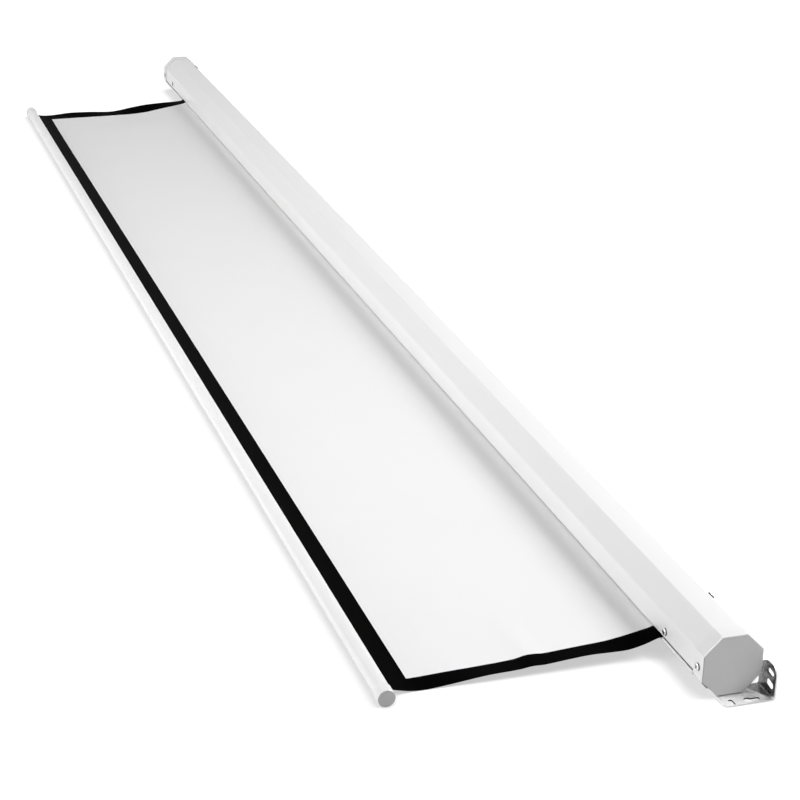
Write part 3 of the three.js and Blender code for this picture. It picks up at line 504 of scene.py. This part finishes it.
def makeCasing():
    make = casingMake
    beadY, beadZ = make["beadCentre"]
    angle = math.radians(make["beadStart"])
    seam = (beadY + make["beadRadius"] * math.cos(angle), beadZ + make["beadRadius"] * math.sin(angle))
    shell = rollSheet(*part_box("casing_shell"), seam)
    bead = rollBead(seam)
    pickOnly(shell)
    bead.select_set(True)
    bpy.ops.object.join()
    settle(shell, casingPaint)
    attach(shell, "casing")
    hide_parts("casing_shell")


makeCasing()
print("casing rolled")


# The end caps: octagonal covers with an eased rim and a skirt over the casing
capMake = {
    "skirtWall": 0.7 * mm,
    "endWall": 2.0 * mm,
    "rim": 1.1 * mm,
    "rimSteps": 3,
    # rim faces turned up or sideways are painted whiter as a highlight, those turned down darker as shade
    "rimMarks": [(0.5, 1.0), (0.9, -0.3), (1.1, -0.7)],  # how far the rim may face down, and its mark
    "seam": 0.7 * mm,
    # the seam's front part is painted dark as a shade line
    "seamArea": 60 * mm * mm,  # a smaller face, this far out from the middle, is a part of the seam
    "seamOut": 25 * mm,
    "seamShade": 0.5,
}


# A cap's marks: above nothing a painted highlight on its eased rim; below it painted shade where the rim
# faces down, on the face and in the seam's front
def markRim(cap, end, width, faceShade):
    make = capMake
    pickNone()
    middleY = sum(v.co.y for v in cap.data.vertices) / len(cap.data.vertices)
    marks = []
    for polygon in cap.data.polygons:
        normal, reach = polygon.normal, abs(polygon.normal.x)
        value = 0.0
        if abs(polygon.center.x - end) < width:
            if flush < reach < square:
                down = -normal.yz.normalized().y
                value = next(shine for limit, shine in make["rimMarks"] if down < limit)
            elif reach > square:
                seam = polygon.area < make["seamArea"] and polygon.center.y < middleY - make["seamOut"]
                value = -make["seamShade"] if seam else -faceShade
        marks.append(value)
    mark(cap, "rim", "FACE", marks)


def makeCap(name, node, side):
    make = capMake
    low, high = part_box(node)
    place = (low + high) / 2
    half = (high.y - low.y) / 2
    depth = high.x - low.x
    pickNone()
    bpy.ops.mesh.primitive_cylinder_add(vertices=8, radius=half / math.cos(sideAngle), depth=depth)
    cap = bpy.context.object
    cap.name = cap.data.name = name
    turned = Matrix.Rotation(sideAngle, 4, "X") @ Matrix.Rotation(math.radians(90), 4, "Y")
    cap.matrix_world = Matrix.Translation(place) @ turned
    bpy.ops.object.transform_apply(location=True, rotation=True, scale=True)
    editing(cap)
    choose(cap, "edges", lambda e: (middle(e).x - place.x) * side > depth * endShare)
    bpy.ops.mesh.bevel(offset=make["rim"], segments=make["rimSteps"], affect="EDGES")
    choose(cap, "edges", lambda e: alongX(e) > depth / 2)
    bpy.ops.mesh.bevel(offset=make["rim"], segments=make["rimSteps"], affect="EDGES")
    choose(cap, "faces", lambda f: f.normal.x * side < -square)
    bpy.ops.mesh.inset(thickness=make["skirtWall"])
    drawOut(x=side * (depth - make["endWall"]))
    choose(cap, "faces", lambda f: f.normal.x * side > square
           and (middle(f).x - place.x) * side > depth * endShare)
    bpy.ops.mesh.inset(thickness=make["seam"])
    markRim(cap, place.x + side * depth / 2, make["rim"], 0.0)
    settle(cap, capPlastic)
    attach(cap, "casing")
    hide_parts(node)


makeCap("endCapNear", "end_cap_near", 1)
makeCap("endCapFar", "end_cap_far", -1)
print("end caps moulded")


# The brackets: a bent strip with slots for a wall in one flange and for a ceiling in the other
bracketMake = {
    "sheet": 1.5 * mm,
    "bend": 3.5 * mm,
    "bendSteps": 10,
    "outerRound": 10.0 * mm,
    "innerRound": 19.0 * mm,
    "roundSteps": 10,
    "frontClip": 3.0 * mm,
    "slotWidth": 4.6 * mm,
    "wallSlot": (5.8 * mm, -4.6 * mm, 10.4 * mm),  # inset from the outer edge, place along it, length
    "keyhole": (5.8 * mm, 12.5 * mm, 4.2 * mm, 13.0 * mm),  # inset, place, eye's radius, neck's length
    "ceilingSlots": [
        (10.6 * mm, 13.1 * mm, 13.0 * mm, 6.6 * mm),  # inset, place up the flange, length, width
        (10.6 * mm, 26.1 * mm, 11.0 * mm, 4.4 * mm),
    ],
    "ceilingTilt": 10.0,
    "holeSteps": 40,
    "rivetSeat": (2.3 * mm, 3.3 * mm),  # the seat's two radii
    "seatSteps": 32,
    "edge": 0.15 * mm,
    "edgeSteps": 2,
    "sharp": 50,  # edges that turn by more degrees are broken
    "flange": 4 * mm,  # what stands higher, or lies nearer the bend, isn't the flat flange
    "edgeZone": 0.3 * mm,
    "cutLean": (0.6, 0.5),  # a cut face's normal has less of the sheet's own in it, on each flange
}


def punch(width, length):  # a cutter for an oblong hole through the sheet
    make = bracketMake
    pickNone()
    depth = make["sheet"] * 4
    bpy.ops.mesh.primitive_cylinder_add(vertices=make["holeSteps"], radius=width / 2, depth=depth)
    cutter = bpy.context.object
    editing(cutter)
    for way in (1, -1):
        choose(cutter, "verts", lambda v: v.co.x * way > hair)
        moveBy(x=way * (length - width) / 2)
    bpy.ops.object.mode_set(mode="OBJECT")
    return cutter


def wallPunches(outer, side, height):
    make = bracketMake

    def seat(inset, y):
        return Matrix.Translation((outer - side * inset, axisLine.y + y, height))

    inset, y, length = make["wallSlot"]
    oblong = punch(make["slotWidth"], length)
    oblong.matrix_world = seat(inset, y)
    inset, y, radius, travel = make["keyhole"]
    eye = punch(2 * radius, 2 * radius)
    eye.matrix_world = seat(inset, y)
    neck = punch(make["slotWidth"], travel + make["slotWidth"] / 2)
    turned = Matrix.Rotation(math.radians(90), 4, "Z")
    neck.matrix_world = seat(inset, y + travel / 2 - make["slotWidth"] / 4) @ turned
    return [oblong, eye, neck]


def ceilingPunches(outer, side, depthY, lowZ):
    make = bracketMake
    upright = Matrix.Rotation(math.radians(90), 4, "X")
    tilt = upright @ Matrix.Rotation(math.radians(-side * make["ceilingTilt"]), 4, "Z")
    cutters = []
    for inset, z, length, width in make["ceilingSlots"]:
        hole = punch(width, length)
        hole.matrix_world = Matrix.Translation((outer - side * inset, depthY, lowZ + z)) @ tilt
        cutters.append(hole)
    return cutters


def rivetPunches(end, height):  # cones that go on straight past both sides of the sheet
    make = bracketMake
    narrow, wide = make["rivetSeat"]
    cutters = []
    for number in (1, 2):
        seat = middleOf(f"bracket_rivet_{end}_{number}")
        pickNone()
        bpy.ops.mesh.primitive_cone_add(vertices=make["seatSteps"], radius1=wide, radius2=narrow,
                                        depth=make["sheet"])
        cone = bpy.context.object
        editing(cone)
        for way in (-1, 1):
            choose(cone, "faces", lambda f: f.normal.z * way > square and middle(f).z * way > 0)
            drawOut(z=way * mm)
        bpy.ops.object.mode_set(mode="OBJECT")
        cone.matrix_world = Matrix.Translation((seat.x, seat.y, height))
        cutters.append(cone)
    return cutters


def bendStrip(name, low, high, outer):
    make = bracketMake
    bend, width = make["bend"], high.x - low.x
    strip = startLine(name, (low.x, low.y, low.z))
    drawTo(strip, (low.x, high.y - bend, low.z))
    drawArc((low.x, high.y - bend, low.z + bend), 90, make["bendSteps"])
    drawTo(strip, (low.x, high.y, high.z))
    sweepX(width)

    def isTop(vertex):
        return vertex.co.z > high.z - close

    def fromOuter(vertex):
        return abs(vertex.co.x - outer)

    corners = (
        ("outerRound", make["roundSteps"], lambda v: isTop(v) and fromOuter(v) < close),
        ("innerRound", make["roundSteps"], lambda v: isTop(v) and fromOuter(v) > width - close),
        ("frontClip", 1, lambda v: v.co.y < low.y + close and fromOuter(v) < close),
    )
    for size, steps, test in corners:
        choose(strip, "verts", test)
        bpy.ops.mesh.bevel(offset=make[size], segments=steps, affect="VERTICES")
    faceOut(strip)
    thicken(strip, make["sheet"])
    return strip


# A bracket's cut faces: its outline is painted pale as reflection, and the walls of the holes in its flat
# flange are painted dark as shade
def markCuts(strip, low, high):
    make = bracketMake
    clip = make["frontClip"]
    uprightLean, flatLean = make["cutLean"]
    pickNone()
    cuts, walls = [], []
    for face in strip.data.polygons:
        centre, normal = face.center, face.normal
        standing = centre.z > low.z + make["flange"]
        sideways = abs(normal.y) < uprightLean if standing else abs(normal.z) < flatLean
        inset = min(centre.x - low.x, high.x - centre.x, centre.y - low.y - clip,
                    high.y - make["flange"] - centre.y)
        wall = sideways and inset > make["edgeZone"] and not standing
        outline = standing or abs(normal.x) > flatLean or centre.y < low.y + clip
        cut = sideways and outline and not wall
        cuts.append(float(cut))
        walls.append(float(wall))
    mark(strip, "cutEdge", "FACE", cuts)
    mark(strip, "holeWall", "FACE", walls)


def makeBracket(name, end, side):
    make = bracketMake
    node = f"bracket_{end}"
    low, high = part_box(node)
    outer = high.x if side > 0 else low.x
    halfSheet = make["sheet"] / 2
    strip = bendStrip(name, low, high, outer)
    cutters = wallPunches(outer, side, low.z + halfSheet)
    cutters += ceilingPunches(outer, side, high.y - halfSheet, low.z)
    cutters += rivetPunches(end, low.z + halfSheet)
    bpy.context.view_layer.update()
    cutAway(strip, cutters)
    apply(strip, "BEVEL", width=make["edge"], segments=make["edgeSteps"], limit_method="ANGLE",
          angle_limit=math.radians(make["sharp"]))
    markCuts(strip, low, high)
    settle(strip, zincSheet)
    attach(strip, "casing")
    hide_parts(node)


makeBracket("bracketNear", "near", 1)
makeBracket("bracketFar", "far", -1)
print("brackets bent")


# The pan-head screws, made once and copied to every seat
screwMake = {
    "head": 3.9 * mm,
    "steps": 32,
    "height": 2.3 * mm,
    "dome": 0.72,  # of the height
    "domeSteps": 6,
    "shank": 1.7 * mm,
    "length": 8.0 * mm,
    "tip": 1.6 * mm,
    "recessWidth": 1.2 * mm,
    "recessSpan": 4.8 * mm,
    "recessDepth": 1.4 * mm,
    "recessShade": (0.2, 0.97, 0.58),  # between two shares of the height, within a share of the span
    "footShade": (0.5, 0.92),  # up to this share of the height, and how dark
    "lift": 0.05 * mm,
    "twist": (37, 20),  # degrees from one screw to the next, and of the first one
    "turns": {"front": 180, "rear": 0, "upper": 45, "lower": -45},  # degrees from +Y round the casing's axis
    "underCap": 225,  # for the caps' lower screws
    "drops": {("cap", "front"): 1.3 * mm, ("support", "front"): 4.0 * mm},  # below the middle of the face
}


# marks where shade is painted: in the cross recess and round the head's foot
def markPaintedShade(screw):
    make = screwMake
    low, high, span = make["recessShade"]
    reach, foot = make["footShade"]
    height = make["height"]
    marks = []
    for vertex in screw.data.vertices:
        z = vertex.co.z
        inRecess = height * low < z < height * high and vertex.co.xy.length < make["recessSpan"] * span
        marks.append(max(float(inRecess), foot * float(-hair < z < height * reach)))
    mark(screw, "paintedShade", "POINT", marks)


def makeScrew():
    make = screwMake
    height = make["height"]
    pickNone()
    bpy.ops.mesh.primitive_cylinder_add(vertices=make["steps"], radius=make["head"], depth=height,
                                        location=(0, 0, height / 2))
    screw = bpy.context.object
    screw.name = screw.data.name = "panHeadScrew"
    bpy.ops.object.transform_apply(location=True)
    editing(screw)
    choose(screw, "edges", lambda e: min(v.co.z for v in e.verts) > height - close)
    bpy.ops.mesh.bevel(offset=height * make["dome"], segments=make["domeSteps"], affect="EDGES")
    choose(screw, "faces", lambda f: f.normal.z < -square)
    bpy.ops.mesh.inset(thickness=make["head"] - make["shank"])
    drawOut(z=make["tip"] - make["length"])
    drawOut(z=-make["tip"])
    bpy.ops.mesh.merge(type="CENTER")
    bpy.ops.object.mode_set(mode="OBJECT")
    cutters = []
    span, width = make["recessSpan"], make["recessWidth"]
    for arm in ((span, width), (width, span)):
        size = (*arm, 2 * make["recessDepth"])
        bpy.ops.mesh.primitive_cube_add(size=1, location=(0, 0, height), scale=size)
        cutters.append(bpy.context.object)
    cutAway(screw, cutters)
    markPaintedShade(screw)
    settle(screw, screwZinc, smooth=40)
    return screw


def seatScrews():
    make = screwMake
    pattern = makeScrew()
    capLow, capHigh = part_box("end_cap_near")
    reaches = {"cap": (capHigh.y - capLow.y) / 2, "support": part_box("casing_shell")[1].y - axisLine.y}
    twistStep, twistStart = make["twist"]
    seats = [node for node in sorted(frame["nodes"]) if "_screw_" in node]
    for placed, node in enumerate(seats):
        part, _, face, end = node.split("_")
        turn = make["underCap"] if (part, face) == ("cap", "lower") else make["turns"][face]
        drop = make["drops"].get((part, face), 0)
        angle = math.radians(turn)
        normal = Vector((0, math.cos(angle), math.sin(angle)))
        down = Vector((0, -math.sin(angle), math.cos(angle)))
        line = Vector((middleOf(node).x, axisLine.y, axisLine.z))
        foot = line + normal * (reaches[part] + make["lift"]) + down * drop
        facing = Matrix((down, normal.cross(down), normal)).transposed().to_4x4()
        twist = Matrix.Rotation(math.radians(twistStep * placed + twistStart), 4, "Z")
        screw = pattern.copy()
        screw.data = pattern.data.copy()
        screw.name = screw.data.name = f"{part}Screw{face.title()}{end.title()}"
        bpy.context.scene.collection.objects.link(screw)
        screw.data.transform(Matrix.Translation(foot) @ facing @ twist)
        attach(screw, "casing")
        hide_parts(node)
    bpy.data.objects.remove(pattern)


seatScrews()
print("screws seated")


# The bottom bar: a slotted round tube with a moulded cap on each end
barMake = {
    "radius": 8.5 * mm,
    "wall": 0.9 * mm,
    "slotTurn": -15.0,  # degrees from +Y to the middle of the slot
    "slotHalf": 1.2 * mm,
    "steps": 72,
    "capSteps": 64,
    "capEnd": 1.8 * mm,
    "capRound": 0.5 * mm,
    "capRoundSteps": 5,
    # the caps' end faces are painted darker as shade
    "capFaceShade": 0.25,
    "skirtWall": 0.5 * mm,
    "skirtEase": 0.25 * mm,
    "skirtEaseSteps": 2,
}
barLine = middleOf("bottom_bar_tube")


def makeBar():
    make = barMake
    low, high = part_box("bottom_bar_tube")
    radius = make["radius"]
    opening = math.degrees(math.asin(make["slotHalf"] / radius))
    start = math.radians(make["slotTurn"] + opening)
    centreY, centreZ = low.y + radius, low.z + radius
    edge = (low.x, centreY + radius * math.cos(start), centreZ + radius * math.sin(start))
    bar = startLine("bottomBar", edge)
    drawArc((low.x, centreY, centreZ), 360 - 2 * opening, make["steps"])
    sweepX(high.x - low.x)
    faceOut(bar)
    thicken(bar, make["wall"])
    settle(bar, barPaint)
    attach(bar, "bottom_bar")
    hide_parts("bottom_bar_tube")


def makeBarCap(name, node, side):
    make = barMake
    low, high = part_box(node)
    place, depth, radius = (low + high) / 2, high.x - low.x, (high.y - low.y) / 2
    pickNone()
    bpy.ops.mesh.primitive_cylinder_add(vertices=make["capSteps"], radius=radius, depth=depth)
    cap = bpy.context.object
    cap.name = cap.data.name = name
    cap.matrix_world = Matrix.Translation(place) @ Matrix.Rotation(math.radians(90 * side), 4, "Y")
    bpy.ops.object.transform_apply(location=True, rotation=True, scale=True)

    def out(vertex):
        return (vertex.co.x - place.x) * side

    editing(cap)
    choose(cap, "edges", lambda e: min(out(v) for v in e.verts) > depth * endShare)
    bpy.ops.mesh.bevel(offset=make["capRound"], segments=make["capRoundSteps"], affect="EDGES")
    choose(cap, "faces", lambda f: f.normal.x * side < -square)
    bpy.ops.mesh.inset(thickness=make["skirtWall"])
    drawOut(x=side * (depth - make["capEnd"]))
    choose(cap, "edges", lambda e: max(out(v) for v in e.verts) < -depth * endShare
           and abs((middle(e) - place).yz.length - radius) < close)
    bpy.ops.mesh.bevel(offset=make["skirtEase"], segments=make["skirtEaseSteps"], affect="EDGES")
    markRim(cap, place.x + side * depth / 2, make["capRound"], make["capFaceShade"])
    settle(cap, barPlastic)
    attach(cap, "bottom_bar")
    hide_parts(node)


makeBar()
makeBarCap("barCapNear", "bar_cap_near", 1)
makeBarCap("barCapFar", "bar_cap_far", -1)
print("bottom bar made")


# The cloth between slot and bar: heights in millimetres above the floor at steps out from the casing's axis
clothMake = {
    "thickness": 0.5 * mm,
    "sideBorder": 23.3 * mm,
    "bottomBorder": 25.6 * mm,
    "acrossWhite": 180,
    "acrossBorder": 6,
    "downWhite": 56,
    "downBorder": 10,
    "offRoll": [(-8.4, -20.3), (-20.4, -16.1)],  # between the roll and the slot, from the casing's axis
    "slot": 32 * mm,
    "mouth": 322.8 * mm,
    "hem": (4.0 * mm, -1.2 * mm),  # where the cloth ends, from the middle of the bar
    "edgeReach": 150 * mm,
    "fold": 0.14,  # of the height between a border's two sides, beside it on the white cloth
    "middle": [(-32, 22.4), (-37, 21.2), (-51, 18.0), (-68, 14.8), (-85, 12.6), (-110, 11.0), (-134, 9.6),
               (-175, 7.2), (-220, 4.4), (-260, 2.4), (-285, 1.4), (-300, 1.9), (-312, 4.2), (-322.8, 7.1)],
    "nearInner": [(-32, 22.4), (-37, 21.0), (-51, 18.2), (-68, 15.0), (-85, 12.6), (-110, 11.0), (-134, 9.5),
                  (-152, 8.4), (-162, 9.2), (-172, 9.0), (-184, 6.4), (-220, 4.4), (-260, 3.0), (-285, 1.8),
                  (-300, 1.9), (-312, 4.2), (-322.8, 7.1)],
    "nearOuter": [(-32, 22.4), (-37, 21.4), (-51, 16.6), (-68, 12.9), (-85, 12.7), (-110, 13.2), (-134, 11.7),
                  (-160, 9.6), (-172, 9.9), (-186, 8.2), (-220, 6.8), (-260, 2.6), (-285, 0.6), (-300, 1.6),
                  (-312, 4.2), (-322.8, 7.1)],
    "farInner": [(-32, 22.4), (-37, 20.6), (-51, 17.6), (-68, 14.8), (-85, 11.9), (-110, 7.5), (-134, 5.2),
                 (-175, 4.1), (-220, 3.6), (-260, 3.3), (-285, 3.0), (-300, 3.0), (-312, 4.6), (-322.8, 7.1)],
    "farOuter": [(-32, 22.4), (-37, 20.6), (-51, 19.4), (-68, 18.8), (-85, 18.0), (-110, 16.2), (-134, 12.8),
                 (-175, 6.4), (-220, 7.8), (-260, 8.1), (-285, 5.8), (-300, 5.0), (-312, 5.4), (-322.8, 7.1)],
}
borderLow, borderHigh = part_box("bottom_border")
slotY = axisLine.y - clothMake["slot"]
mouthY = axisLine.y - clothMake["mouth"]
borderY = mouthY + clothMake["bottomBorder"]


def ease(share):
    share = min(1, max(0, share))
    return share * share * (3 - 2 * share)


# A smooth curve through the points, on which each stretch keeps the slope of its neighbours
def heightOn(points, y):
    y = min(points[0][0], max(points[-1][0], y))
    for i in range(len(points) - 1):
        if points[i + 1][0] <= y <= points[i][0]:
            break
    (y0, z0), (y1, z1) = points[i], points[i + 1]
    before, after = points[max(0, i - 1)], points[min(len(points) - 1, i + 2)]
    slope0 = (z1 - before[1]) / (y1 - before[0])
    slope1 = (after[1] - z0) / (after[0] - y0)
    t, span = (y - y0) / (y1 - y0), y1 - y0
    return ((2 * t**3 - 3 * t**2 + 1) * z0 + (t**3 - 2 * t**2 + t) * span * slope0
            + (3 * t**2 - 2 * t**3) * z1 + (t**3 - t**2) * span * slope1)


def clothHeight(x, y):
    make = clothMake
    border = make["sideBorder"]
    out = (y - axisLine.y) / mm
    z = heightOn(make["middle"], out)
    for end, edge, side in (("near", borderHigh.x, 1), ("far", borderLow.x, -1)):
        inside = (edge - x) * side
        inner, outer = heightOn(make[end + "Inner"], out), heightOn(make[end + "Outer"], out)
        if inside < border:
            return (inner + (outer - inner) * (1 - inside / border)) * mm
        if inside < make["edgeReach"]:
            nearness = 1 - ease((inside - border) / (make["edgeReach"] - border))
            fold = (inner - outer) * make["fold"] * nearness * math.sin(math.pi * nearness)
            z += (inner - z) * nearness + fold
    return z * mm


def placesBetween(start, end, count):
    return [start + (end - start) * i / count for i in range(count + 1)]


# Places down the cloth, from the roll through the slot into the bar; for None clothHeight gives the height
def clothRows():
    make = clothMake
    rows = [(axisLine.y + y * mm, axisLine.z + z * mm) for y, z in make["offRoll"]]
    rows += [(y, None) for y in placesBetween(slotY, borderY, make["downWhite"])]
    rows += [(y, None) for y in placesBetween(borderY, mouthY, make["downBorder"])[1:]]
    hemY, hemZ = make["hem"]
    return rows + [(barLine.y + hemY, barLine.z + hemZ)]


def travelledDown(rows):  # how far down the cloth each row lies, along its middle
    places = [(y, clothHeight(0, y) if z is None else z) for y, z in rows]
    travelled = [0.0]
    for (y0, z0), (y1, z1) in zip(places, places[1:]):
        travelled.append(travelled[-1] + math.hypot(y1 - y0, z1 - z0))
    return travelled


def makeCloth(name, columns, rows):
    wide, tall = len(columns) - 1, len(rows) - 1
    pickNone()
    bpy.ops.mesh.primitive_grid_add(x_subdivisions=wide, y_subdivisions=tall, size=2)
    cloth = bpy.context.object
    cloth.name = cloth.data.name = name
    travelled = travelledDown(rows)
    places = {}
    for vertex in cloth.data.vertices:
        i = round((vertex.co.x + 1) / 2 * wide)
        j = round((1 - vertex.co.y) / 2 * tall)
        x, (y, z) = columns[i], rows[j]
        vertex.co = (x, y, clothHeight(x, y) if z is None else z)
        places[vertex.index] = (x, travelled[j])
    for loop in cloth.data.loops:
        cloth.data.uv_layers.active.data[loop.index].uv = places[loop.vertex_index]
    cloth.data.update()
    cloth["cutLength"] = travelled[-1]
    if sum(p.normal.z for p in cloth.data.polygons) < 0:
        cloth.data.flip_normals()
    return cloth


def joinBorder(border, strips):
    pickOnly(border)
    for strip in strips:
        strip.select_set(True)
    bpy.ops.object.join()
    border.name = border.data.name = "blackBorder"
    mergeDoubles(border, hair)
    bpy.ops.object.mode_set(mode="OBJECT")


def hangCloth():
    make = clothMake
    farX, nearX = borderLow.x, borderHigh.x
    innerFar, innerNear = farX + make["sideBorder"], nearX - make["sideBorder"]
    farColumns = placesBetween(farX, innerFar, make["acrossBorder"])
    whiteColumns = placesBetween(innerFar, innerNear, make["acrossWhite"])
    nearColumns = placesBetween(innerNear, nearX, make["acrossBorder"])
    rows = clothRows()
    borderRow = len(make["offRoll"]) + make["downWhite"]
    upper, lower = rows[:borderRow + 1], rows[borderRow:]
    white = makeCloth("screenCloth", whiteColumns, upper)
    farStrip = makeCloth("farBorder", farColumns, upper)
    nearStrip = makeCloth("nearBorder", nearColumns, upper)
    border = makeCloth("bottomBorder", farColumns[:-1] + whiteColumns[:-1] + nearColumns, lower)
    joinBorder(border, (farStrip, nearStrip))
    for cloth, finish, nodes, slot in (
        (white, whiteCloth, ["screen_sheet"], "screen_fabric"),
        (border, blackCloth, ["side_border_near", "side_border_far", "bottom_border"], "border_fabric"),
    ):
        apply(cloth, "SOLIDIFY", thickness=make["thickness"], offset=0)
        settle(cloth, finish, smooth=60)
        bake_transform(cloth)
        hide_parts(*nodes)
    return white, border


screenCloth, blackBorder = hangCloth()
print("cloth drawn out")


# The floor and the light
studio = {
    "floorSize": 60,
    "floor": 0.8,
    "seenFloor": 0.25,  # the floor's shade to the camera, which sees its own white on top of that
    "glow": (0.56, 1.0),  # that white, right beside the screen and in the open
    "contactReach": 28 * mm,
    "contactSpan": (0.4, 1.0),
    "contactSamples": 8,
    "sky": 0.04,
    "lamps": {  # place, target, size and watts
        "keyRear": ((0.5, 2.6, 2.0), (0.4, 0, 0), 3.0, 59),
        "keyNear": ((1.3, 1.9, 1.9), (0.9, 0, 0), 1.0, 42),
        "fillFront": ((0.2, -3.0, 0.7), (0.1, 0, 0.03), 2.0, 33),
        "fillHigh": ((0.2, -3.0, 1.6), (0.1, 0, 0.03), 3.0, 36),
        "fillNear": ((0.9, -2.2, 1.9), (0.9, 0, 0), 1.6, 16),
        "fillFar": ((-2.6, -1.2, 1.5), (-0.8, -0.2, 0), 2.0, 10),
    },
}
white, black = (1, 1, 1, 1), (0, 0, 0, 1)


def makeFloor():
    pickNone()
    bpy.ops.mesh.primitive_plane_add(size=studio["floorSize"], location=(0, 0, 0))
    floor = bpy.context.object
    floor.name = "studioFloor"
    paper = Finish("studioPaper", base_color=shade(studio["floor"]), roughness=1.0, specular_ior_level=0.0,
                   emission_strength=1.0)
    # the floor's white dims where ambient occlusion finds a piece near: a painted contact shadow
    settings, inputs = {"samples": studio["contactSamples"]}, {"Distance": studio["contactReach"]}
    openness = paper.node("ShaderNodeAmbientOcclusion", settings, inputs, "AO")
    low, high = studio["glow"]
    glow = openness.rise(*studio["contactSpan"]) * (high - low) + low
    seen = paper.seenDirectly()
    paper.tone(seen, shade(studio["floor"]), shade(studio["seenFloor"]))
    paper.give("Emission Color", paper.mixed(seen * glow, black, white))
    floor.data.materials.append(paper.material)


def makeSky():
    world = bpy.data.worlds.new("studioSky")
    bpy.context.scene.world = world
    world.use_nodes = True
    sky = Wiring(world.node_tree)
    sky.tree.nodes.clear()
    lighting = sky.node("ShaderNodeBackground", inputs={"Color": white, "Strength": studio["sky"]})
    backdrop = sky.node("ShaderNodeBackground", inputs={"Color": white, "Strength": 1.0})
    both = sky.node("ShaderNodeMixShader", inputs={0: sky.seenDirectly(), 1: lighting, 2: backdrop})
    sky.node("ShaderNodeOutputWorld", inputs={"Surface": both})


def makeLamp(name, place, target, size, watts):
    lamp = bpy.data.lights.new(name, "AREA")
    lamp.shape = "DISK"
    lamp.size = size
    lamp.energy = watts
    lampObject = bpy.data.objects.new(name, lamp)
    lampObject.location = place
    lampObject.rotation_euler = (Vector(target) - Vector(place)).to_track_quat("-Z", "Y").to_euler()
    bpy.context.scene.collection.objects.link(lampObject)


# The camera, fitted to the picture's angle
cameraMake = {
    "place": (2794.3 * mm, -864.5 * mm, 1017.3 * mm),  # its y from the casing's axis
    "turn": (71.402, 22.442, 1.591),  # azimuth, elevation and roll in degrees
    "focalPixels": 2020.3,
    "picturePixels": 800,
    "sensor": 36,
    "clip": (0.05, 100),
}


def makeCamera():
    make = cameraMake
    azimuth, elevation, roll = (math.radians(a) for a in make["turn"])
    back = Vector((math.sin(azimuth) * math.cos(elevation), -math.cos(azimuth) * math.cos(elevation),
                   math.sin(elevation)))
    right = Vector((-back.y, back.x, 0)).normalized()
    up = back.cross(right)
    level, tilt = math.cos(roll), math.sin(roll)
    leaning = (level * right + tilt * up, -tilt * right + level * up, back)
    camera = bpy.data.cameras.new("photoCamera")
    camera.sensor_width = make["sensor"]
    camera.lens = make["focalPixels"] * make["sensor"] / make["picturePixels"]
    camera.clip_start, camera.clip_end = make["clip"]
    cameraObject = bpy.data.objects.new("photoCamera", camera)
    cameraObject.matrix_world = Matrix(leaning).transposed().to_4x4()
    x, y, z = make["place"]
    cameraObject.location = (x, axisLine.y + y, z)
    bpy.context.scene.collection.objects.link(cameraObject)
    bpy.context.scene.camera = cameraObject


makeFloor()
makeSky()
for lampName, setting in studio["lamps"].items():
    makeLamp(lampName, *setting)
makeCamera()
bpy.context.scene.view_settings.view_transform = "Standard"
print("studio ready")
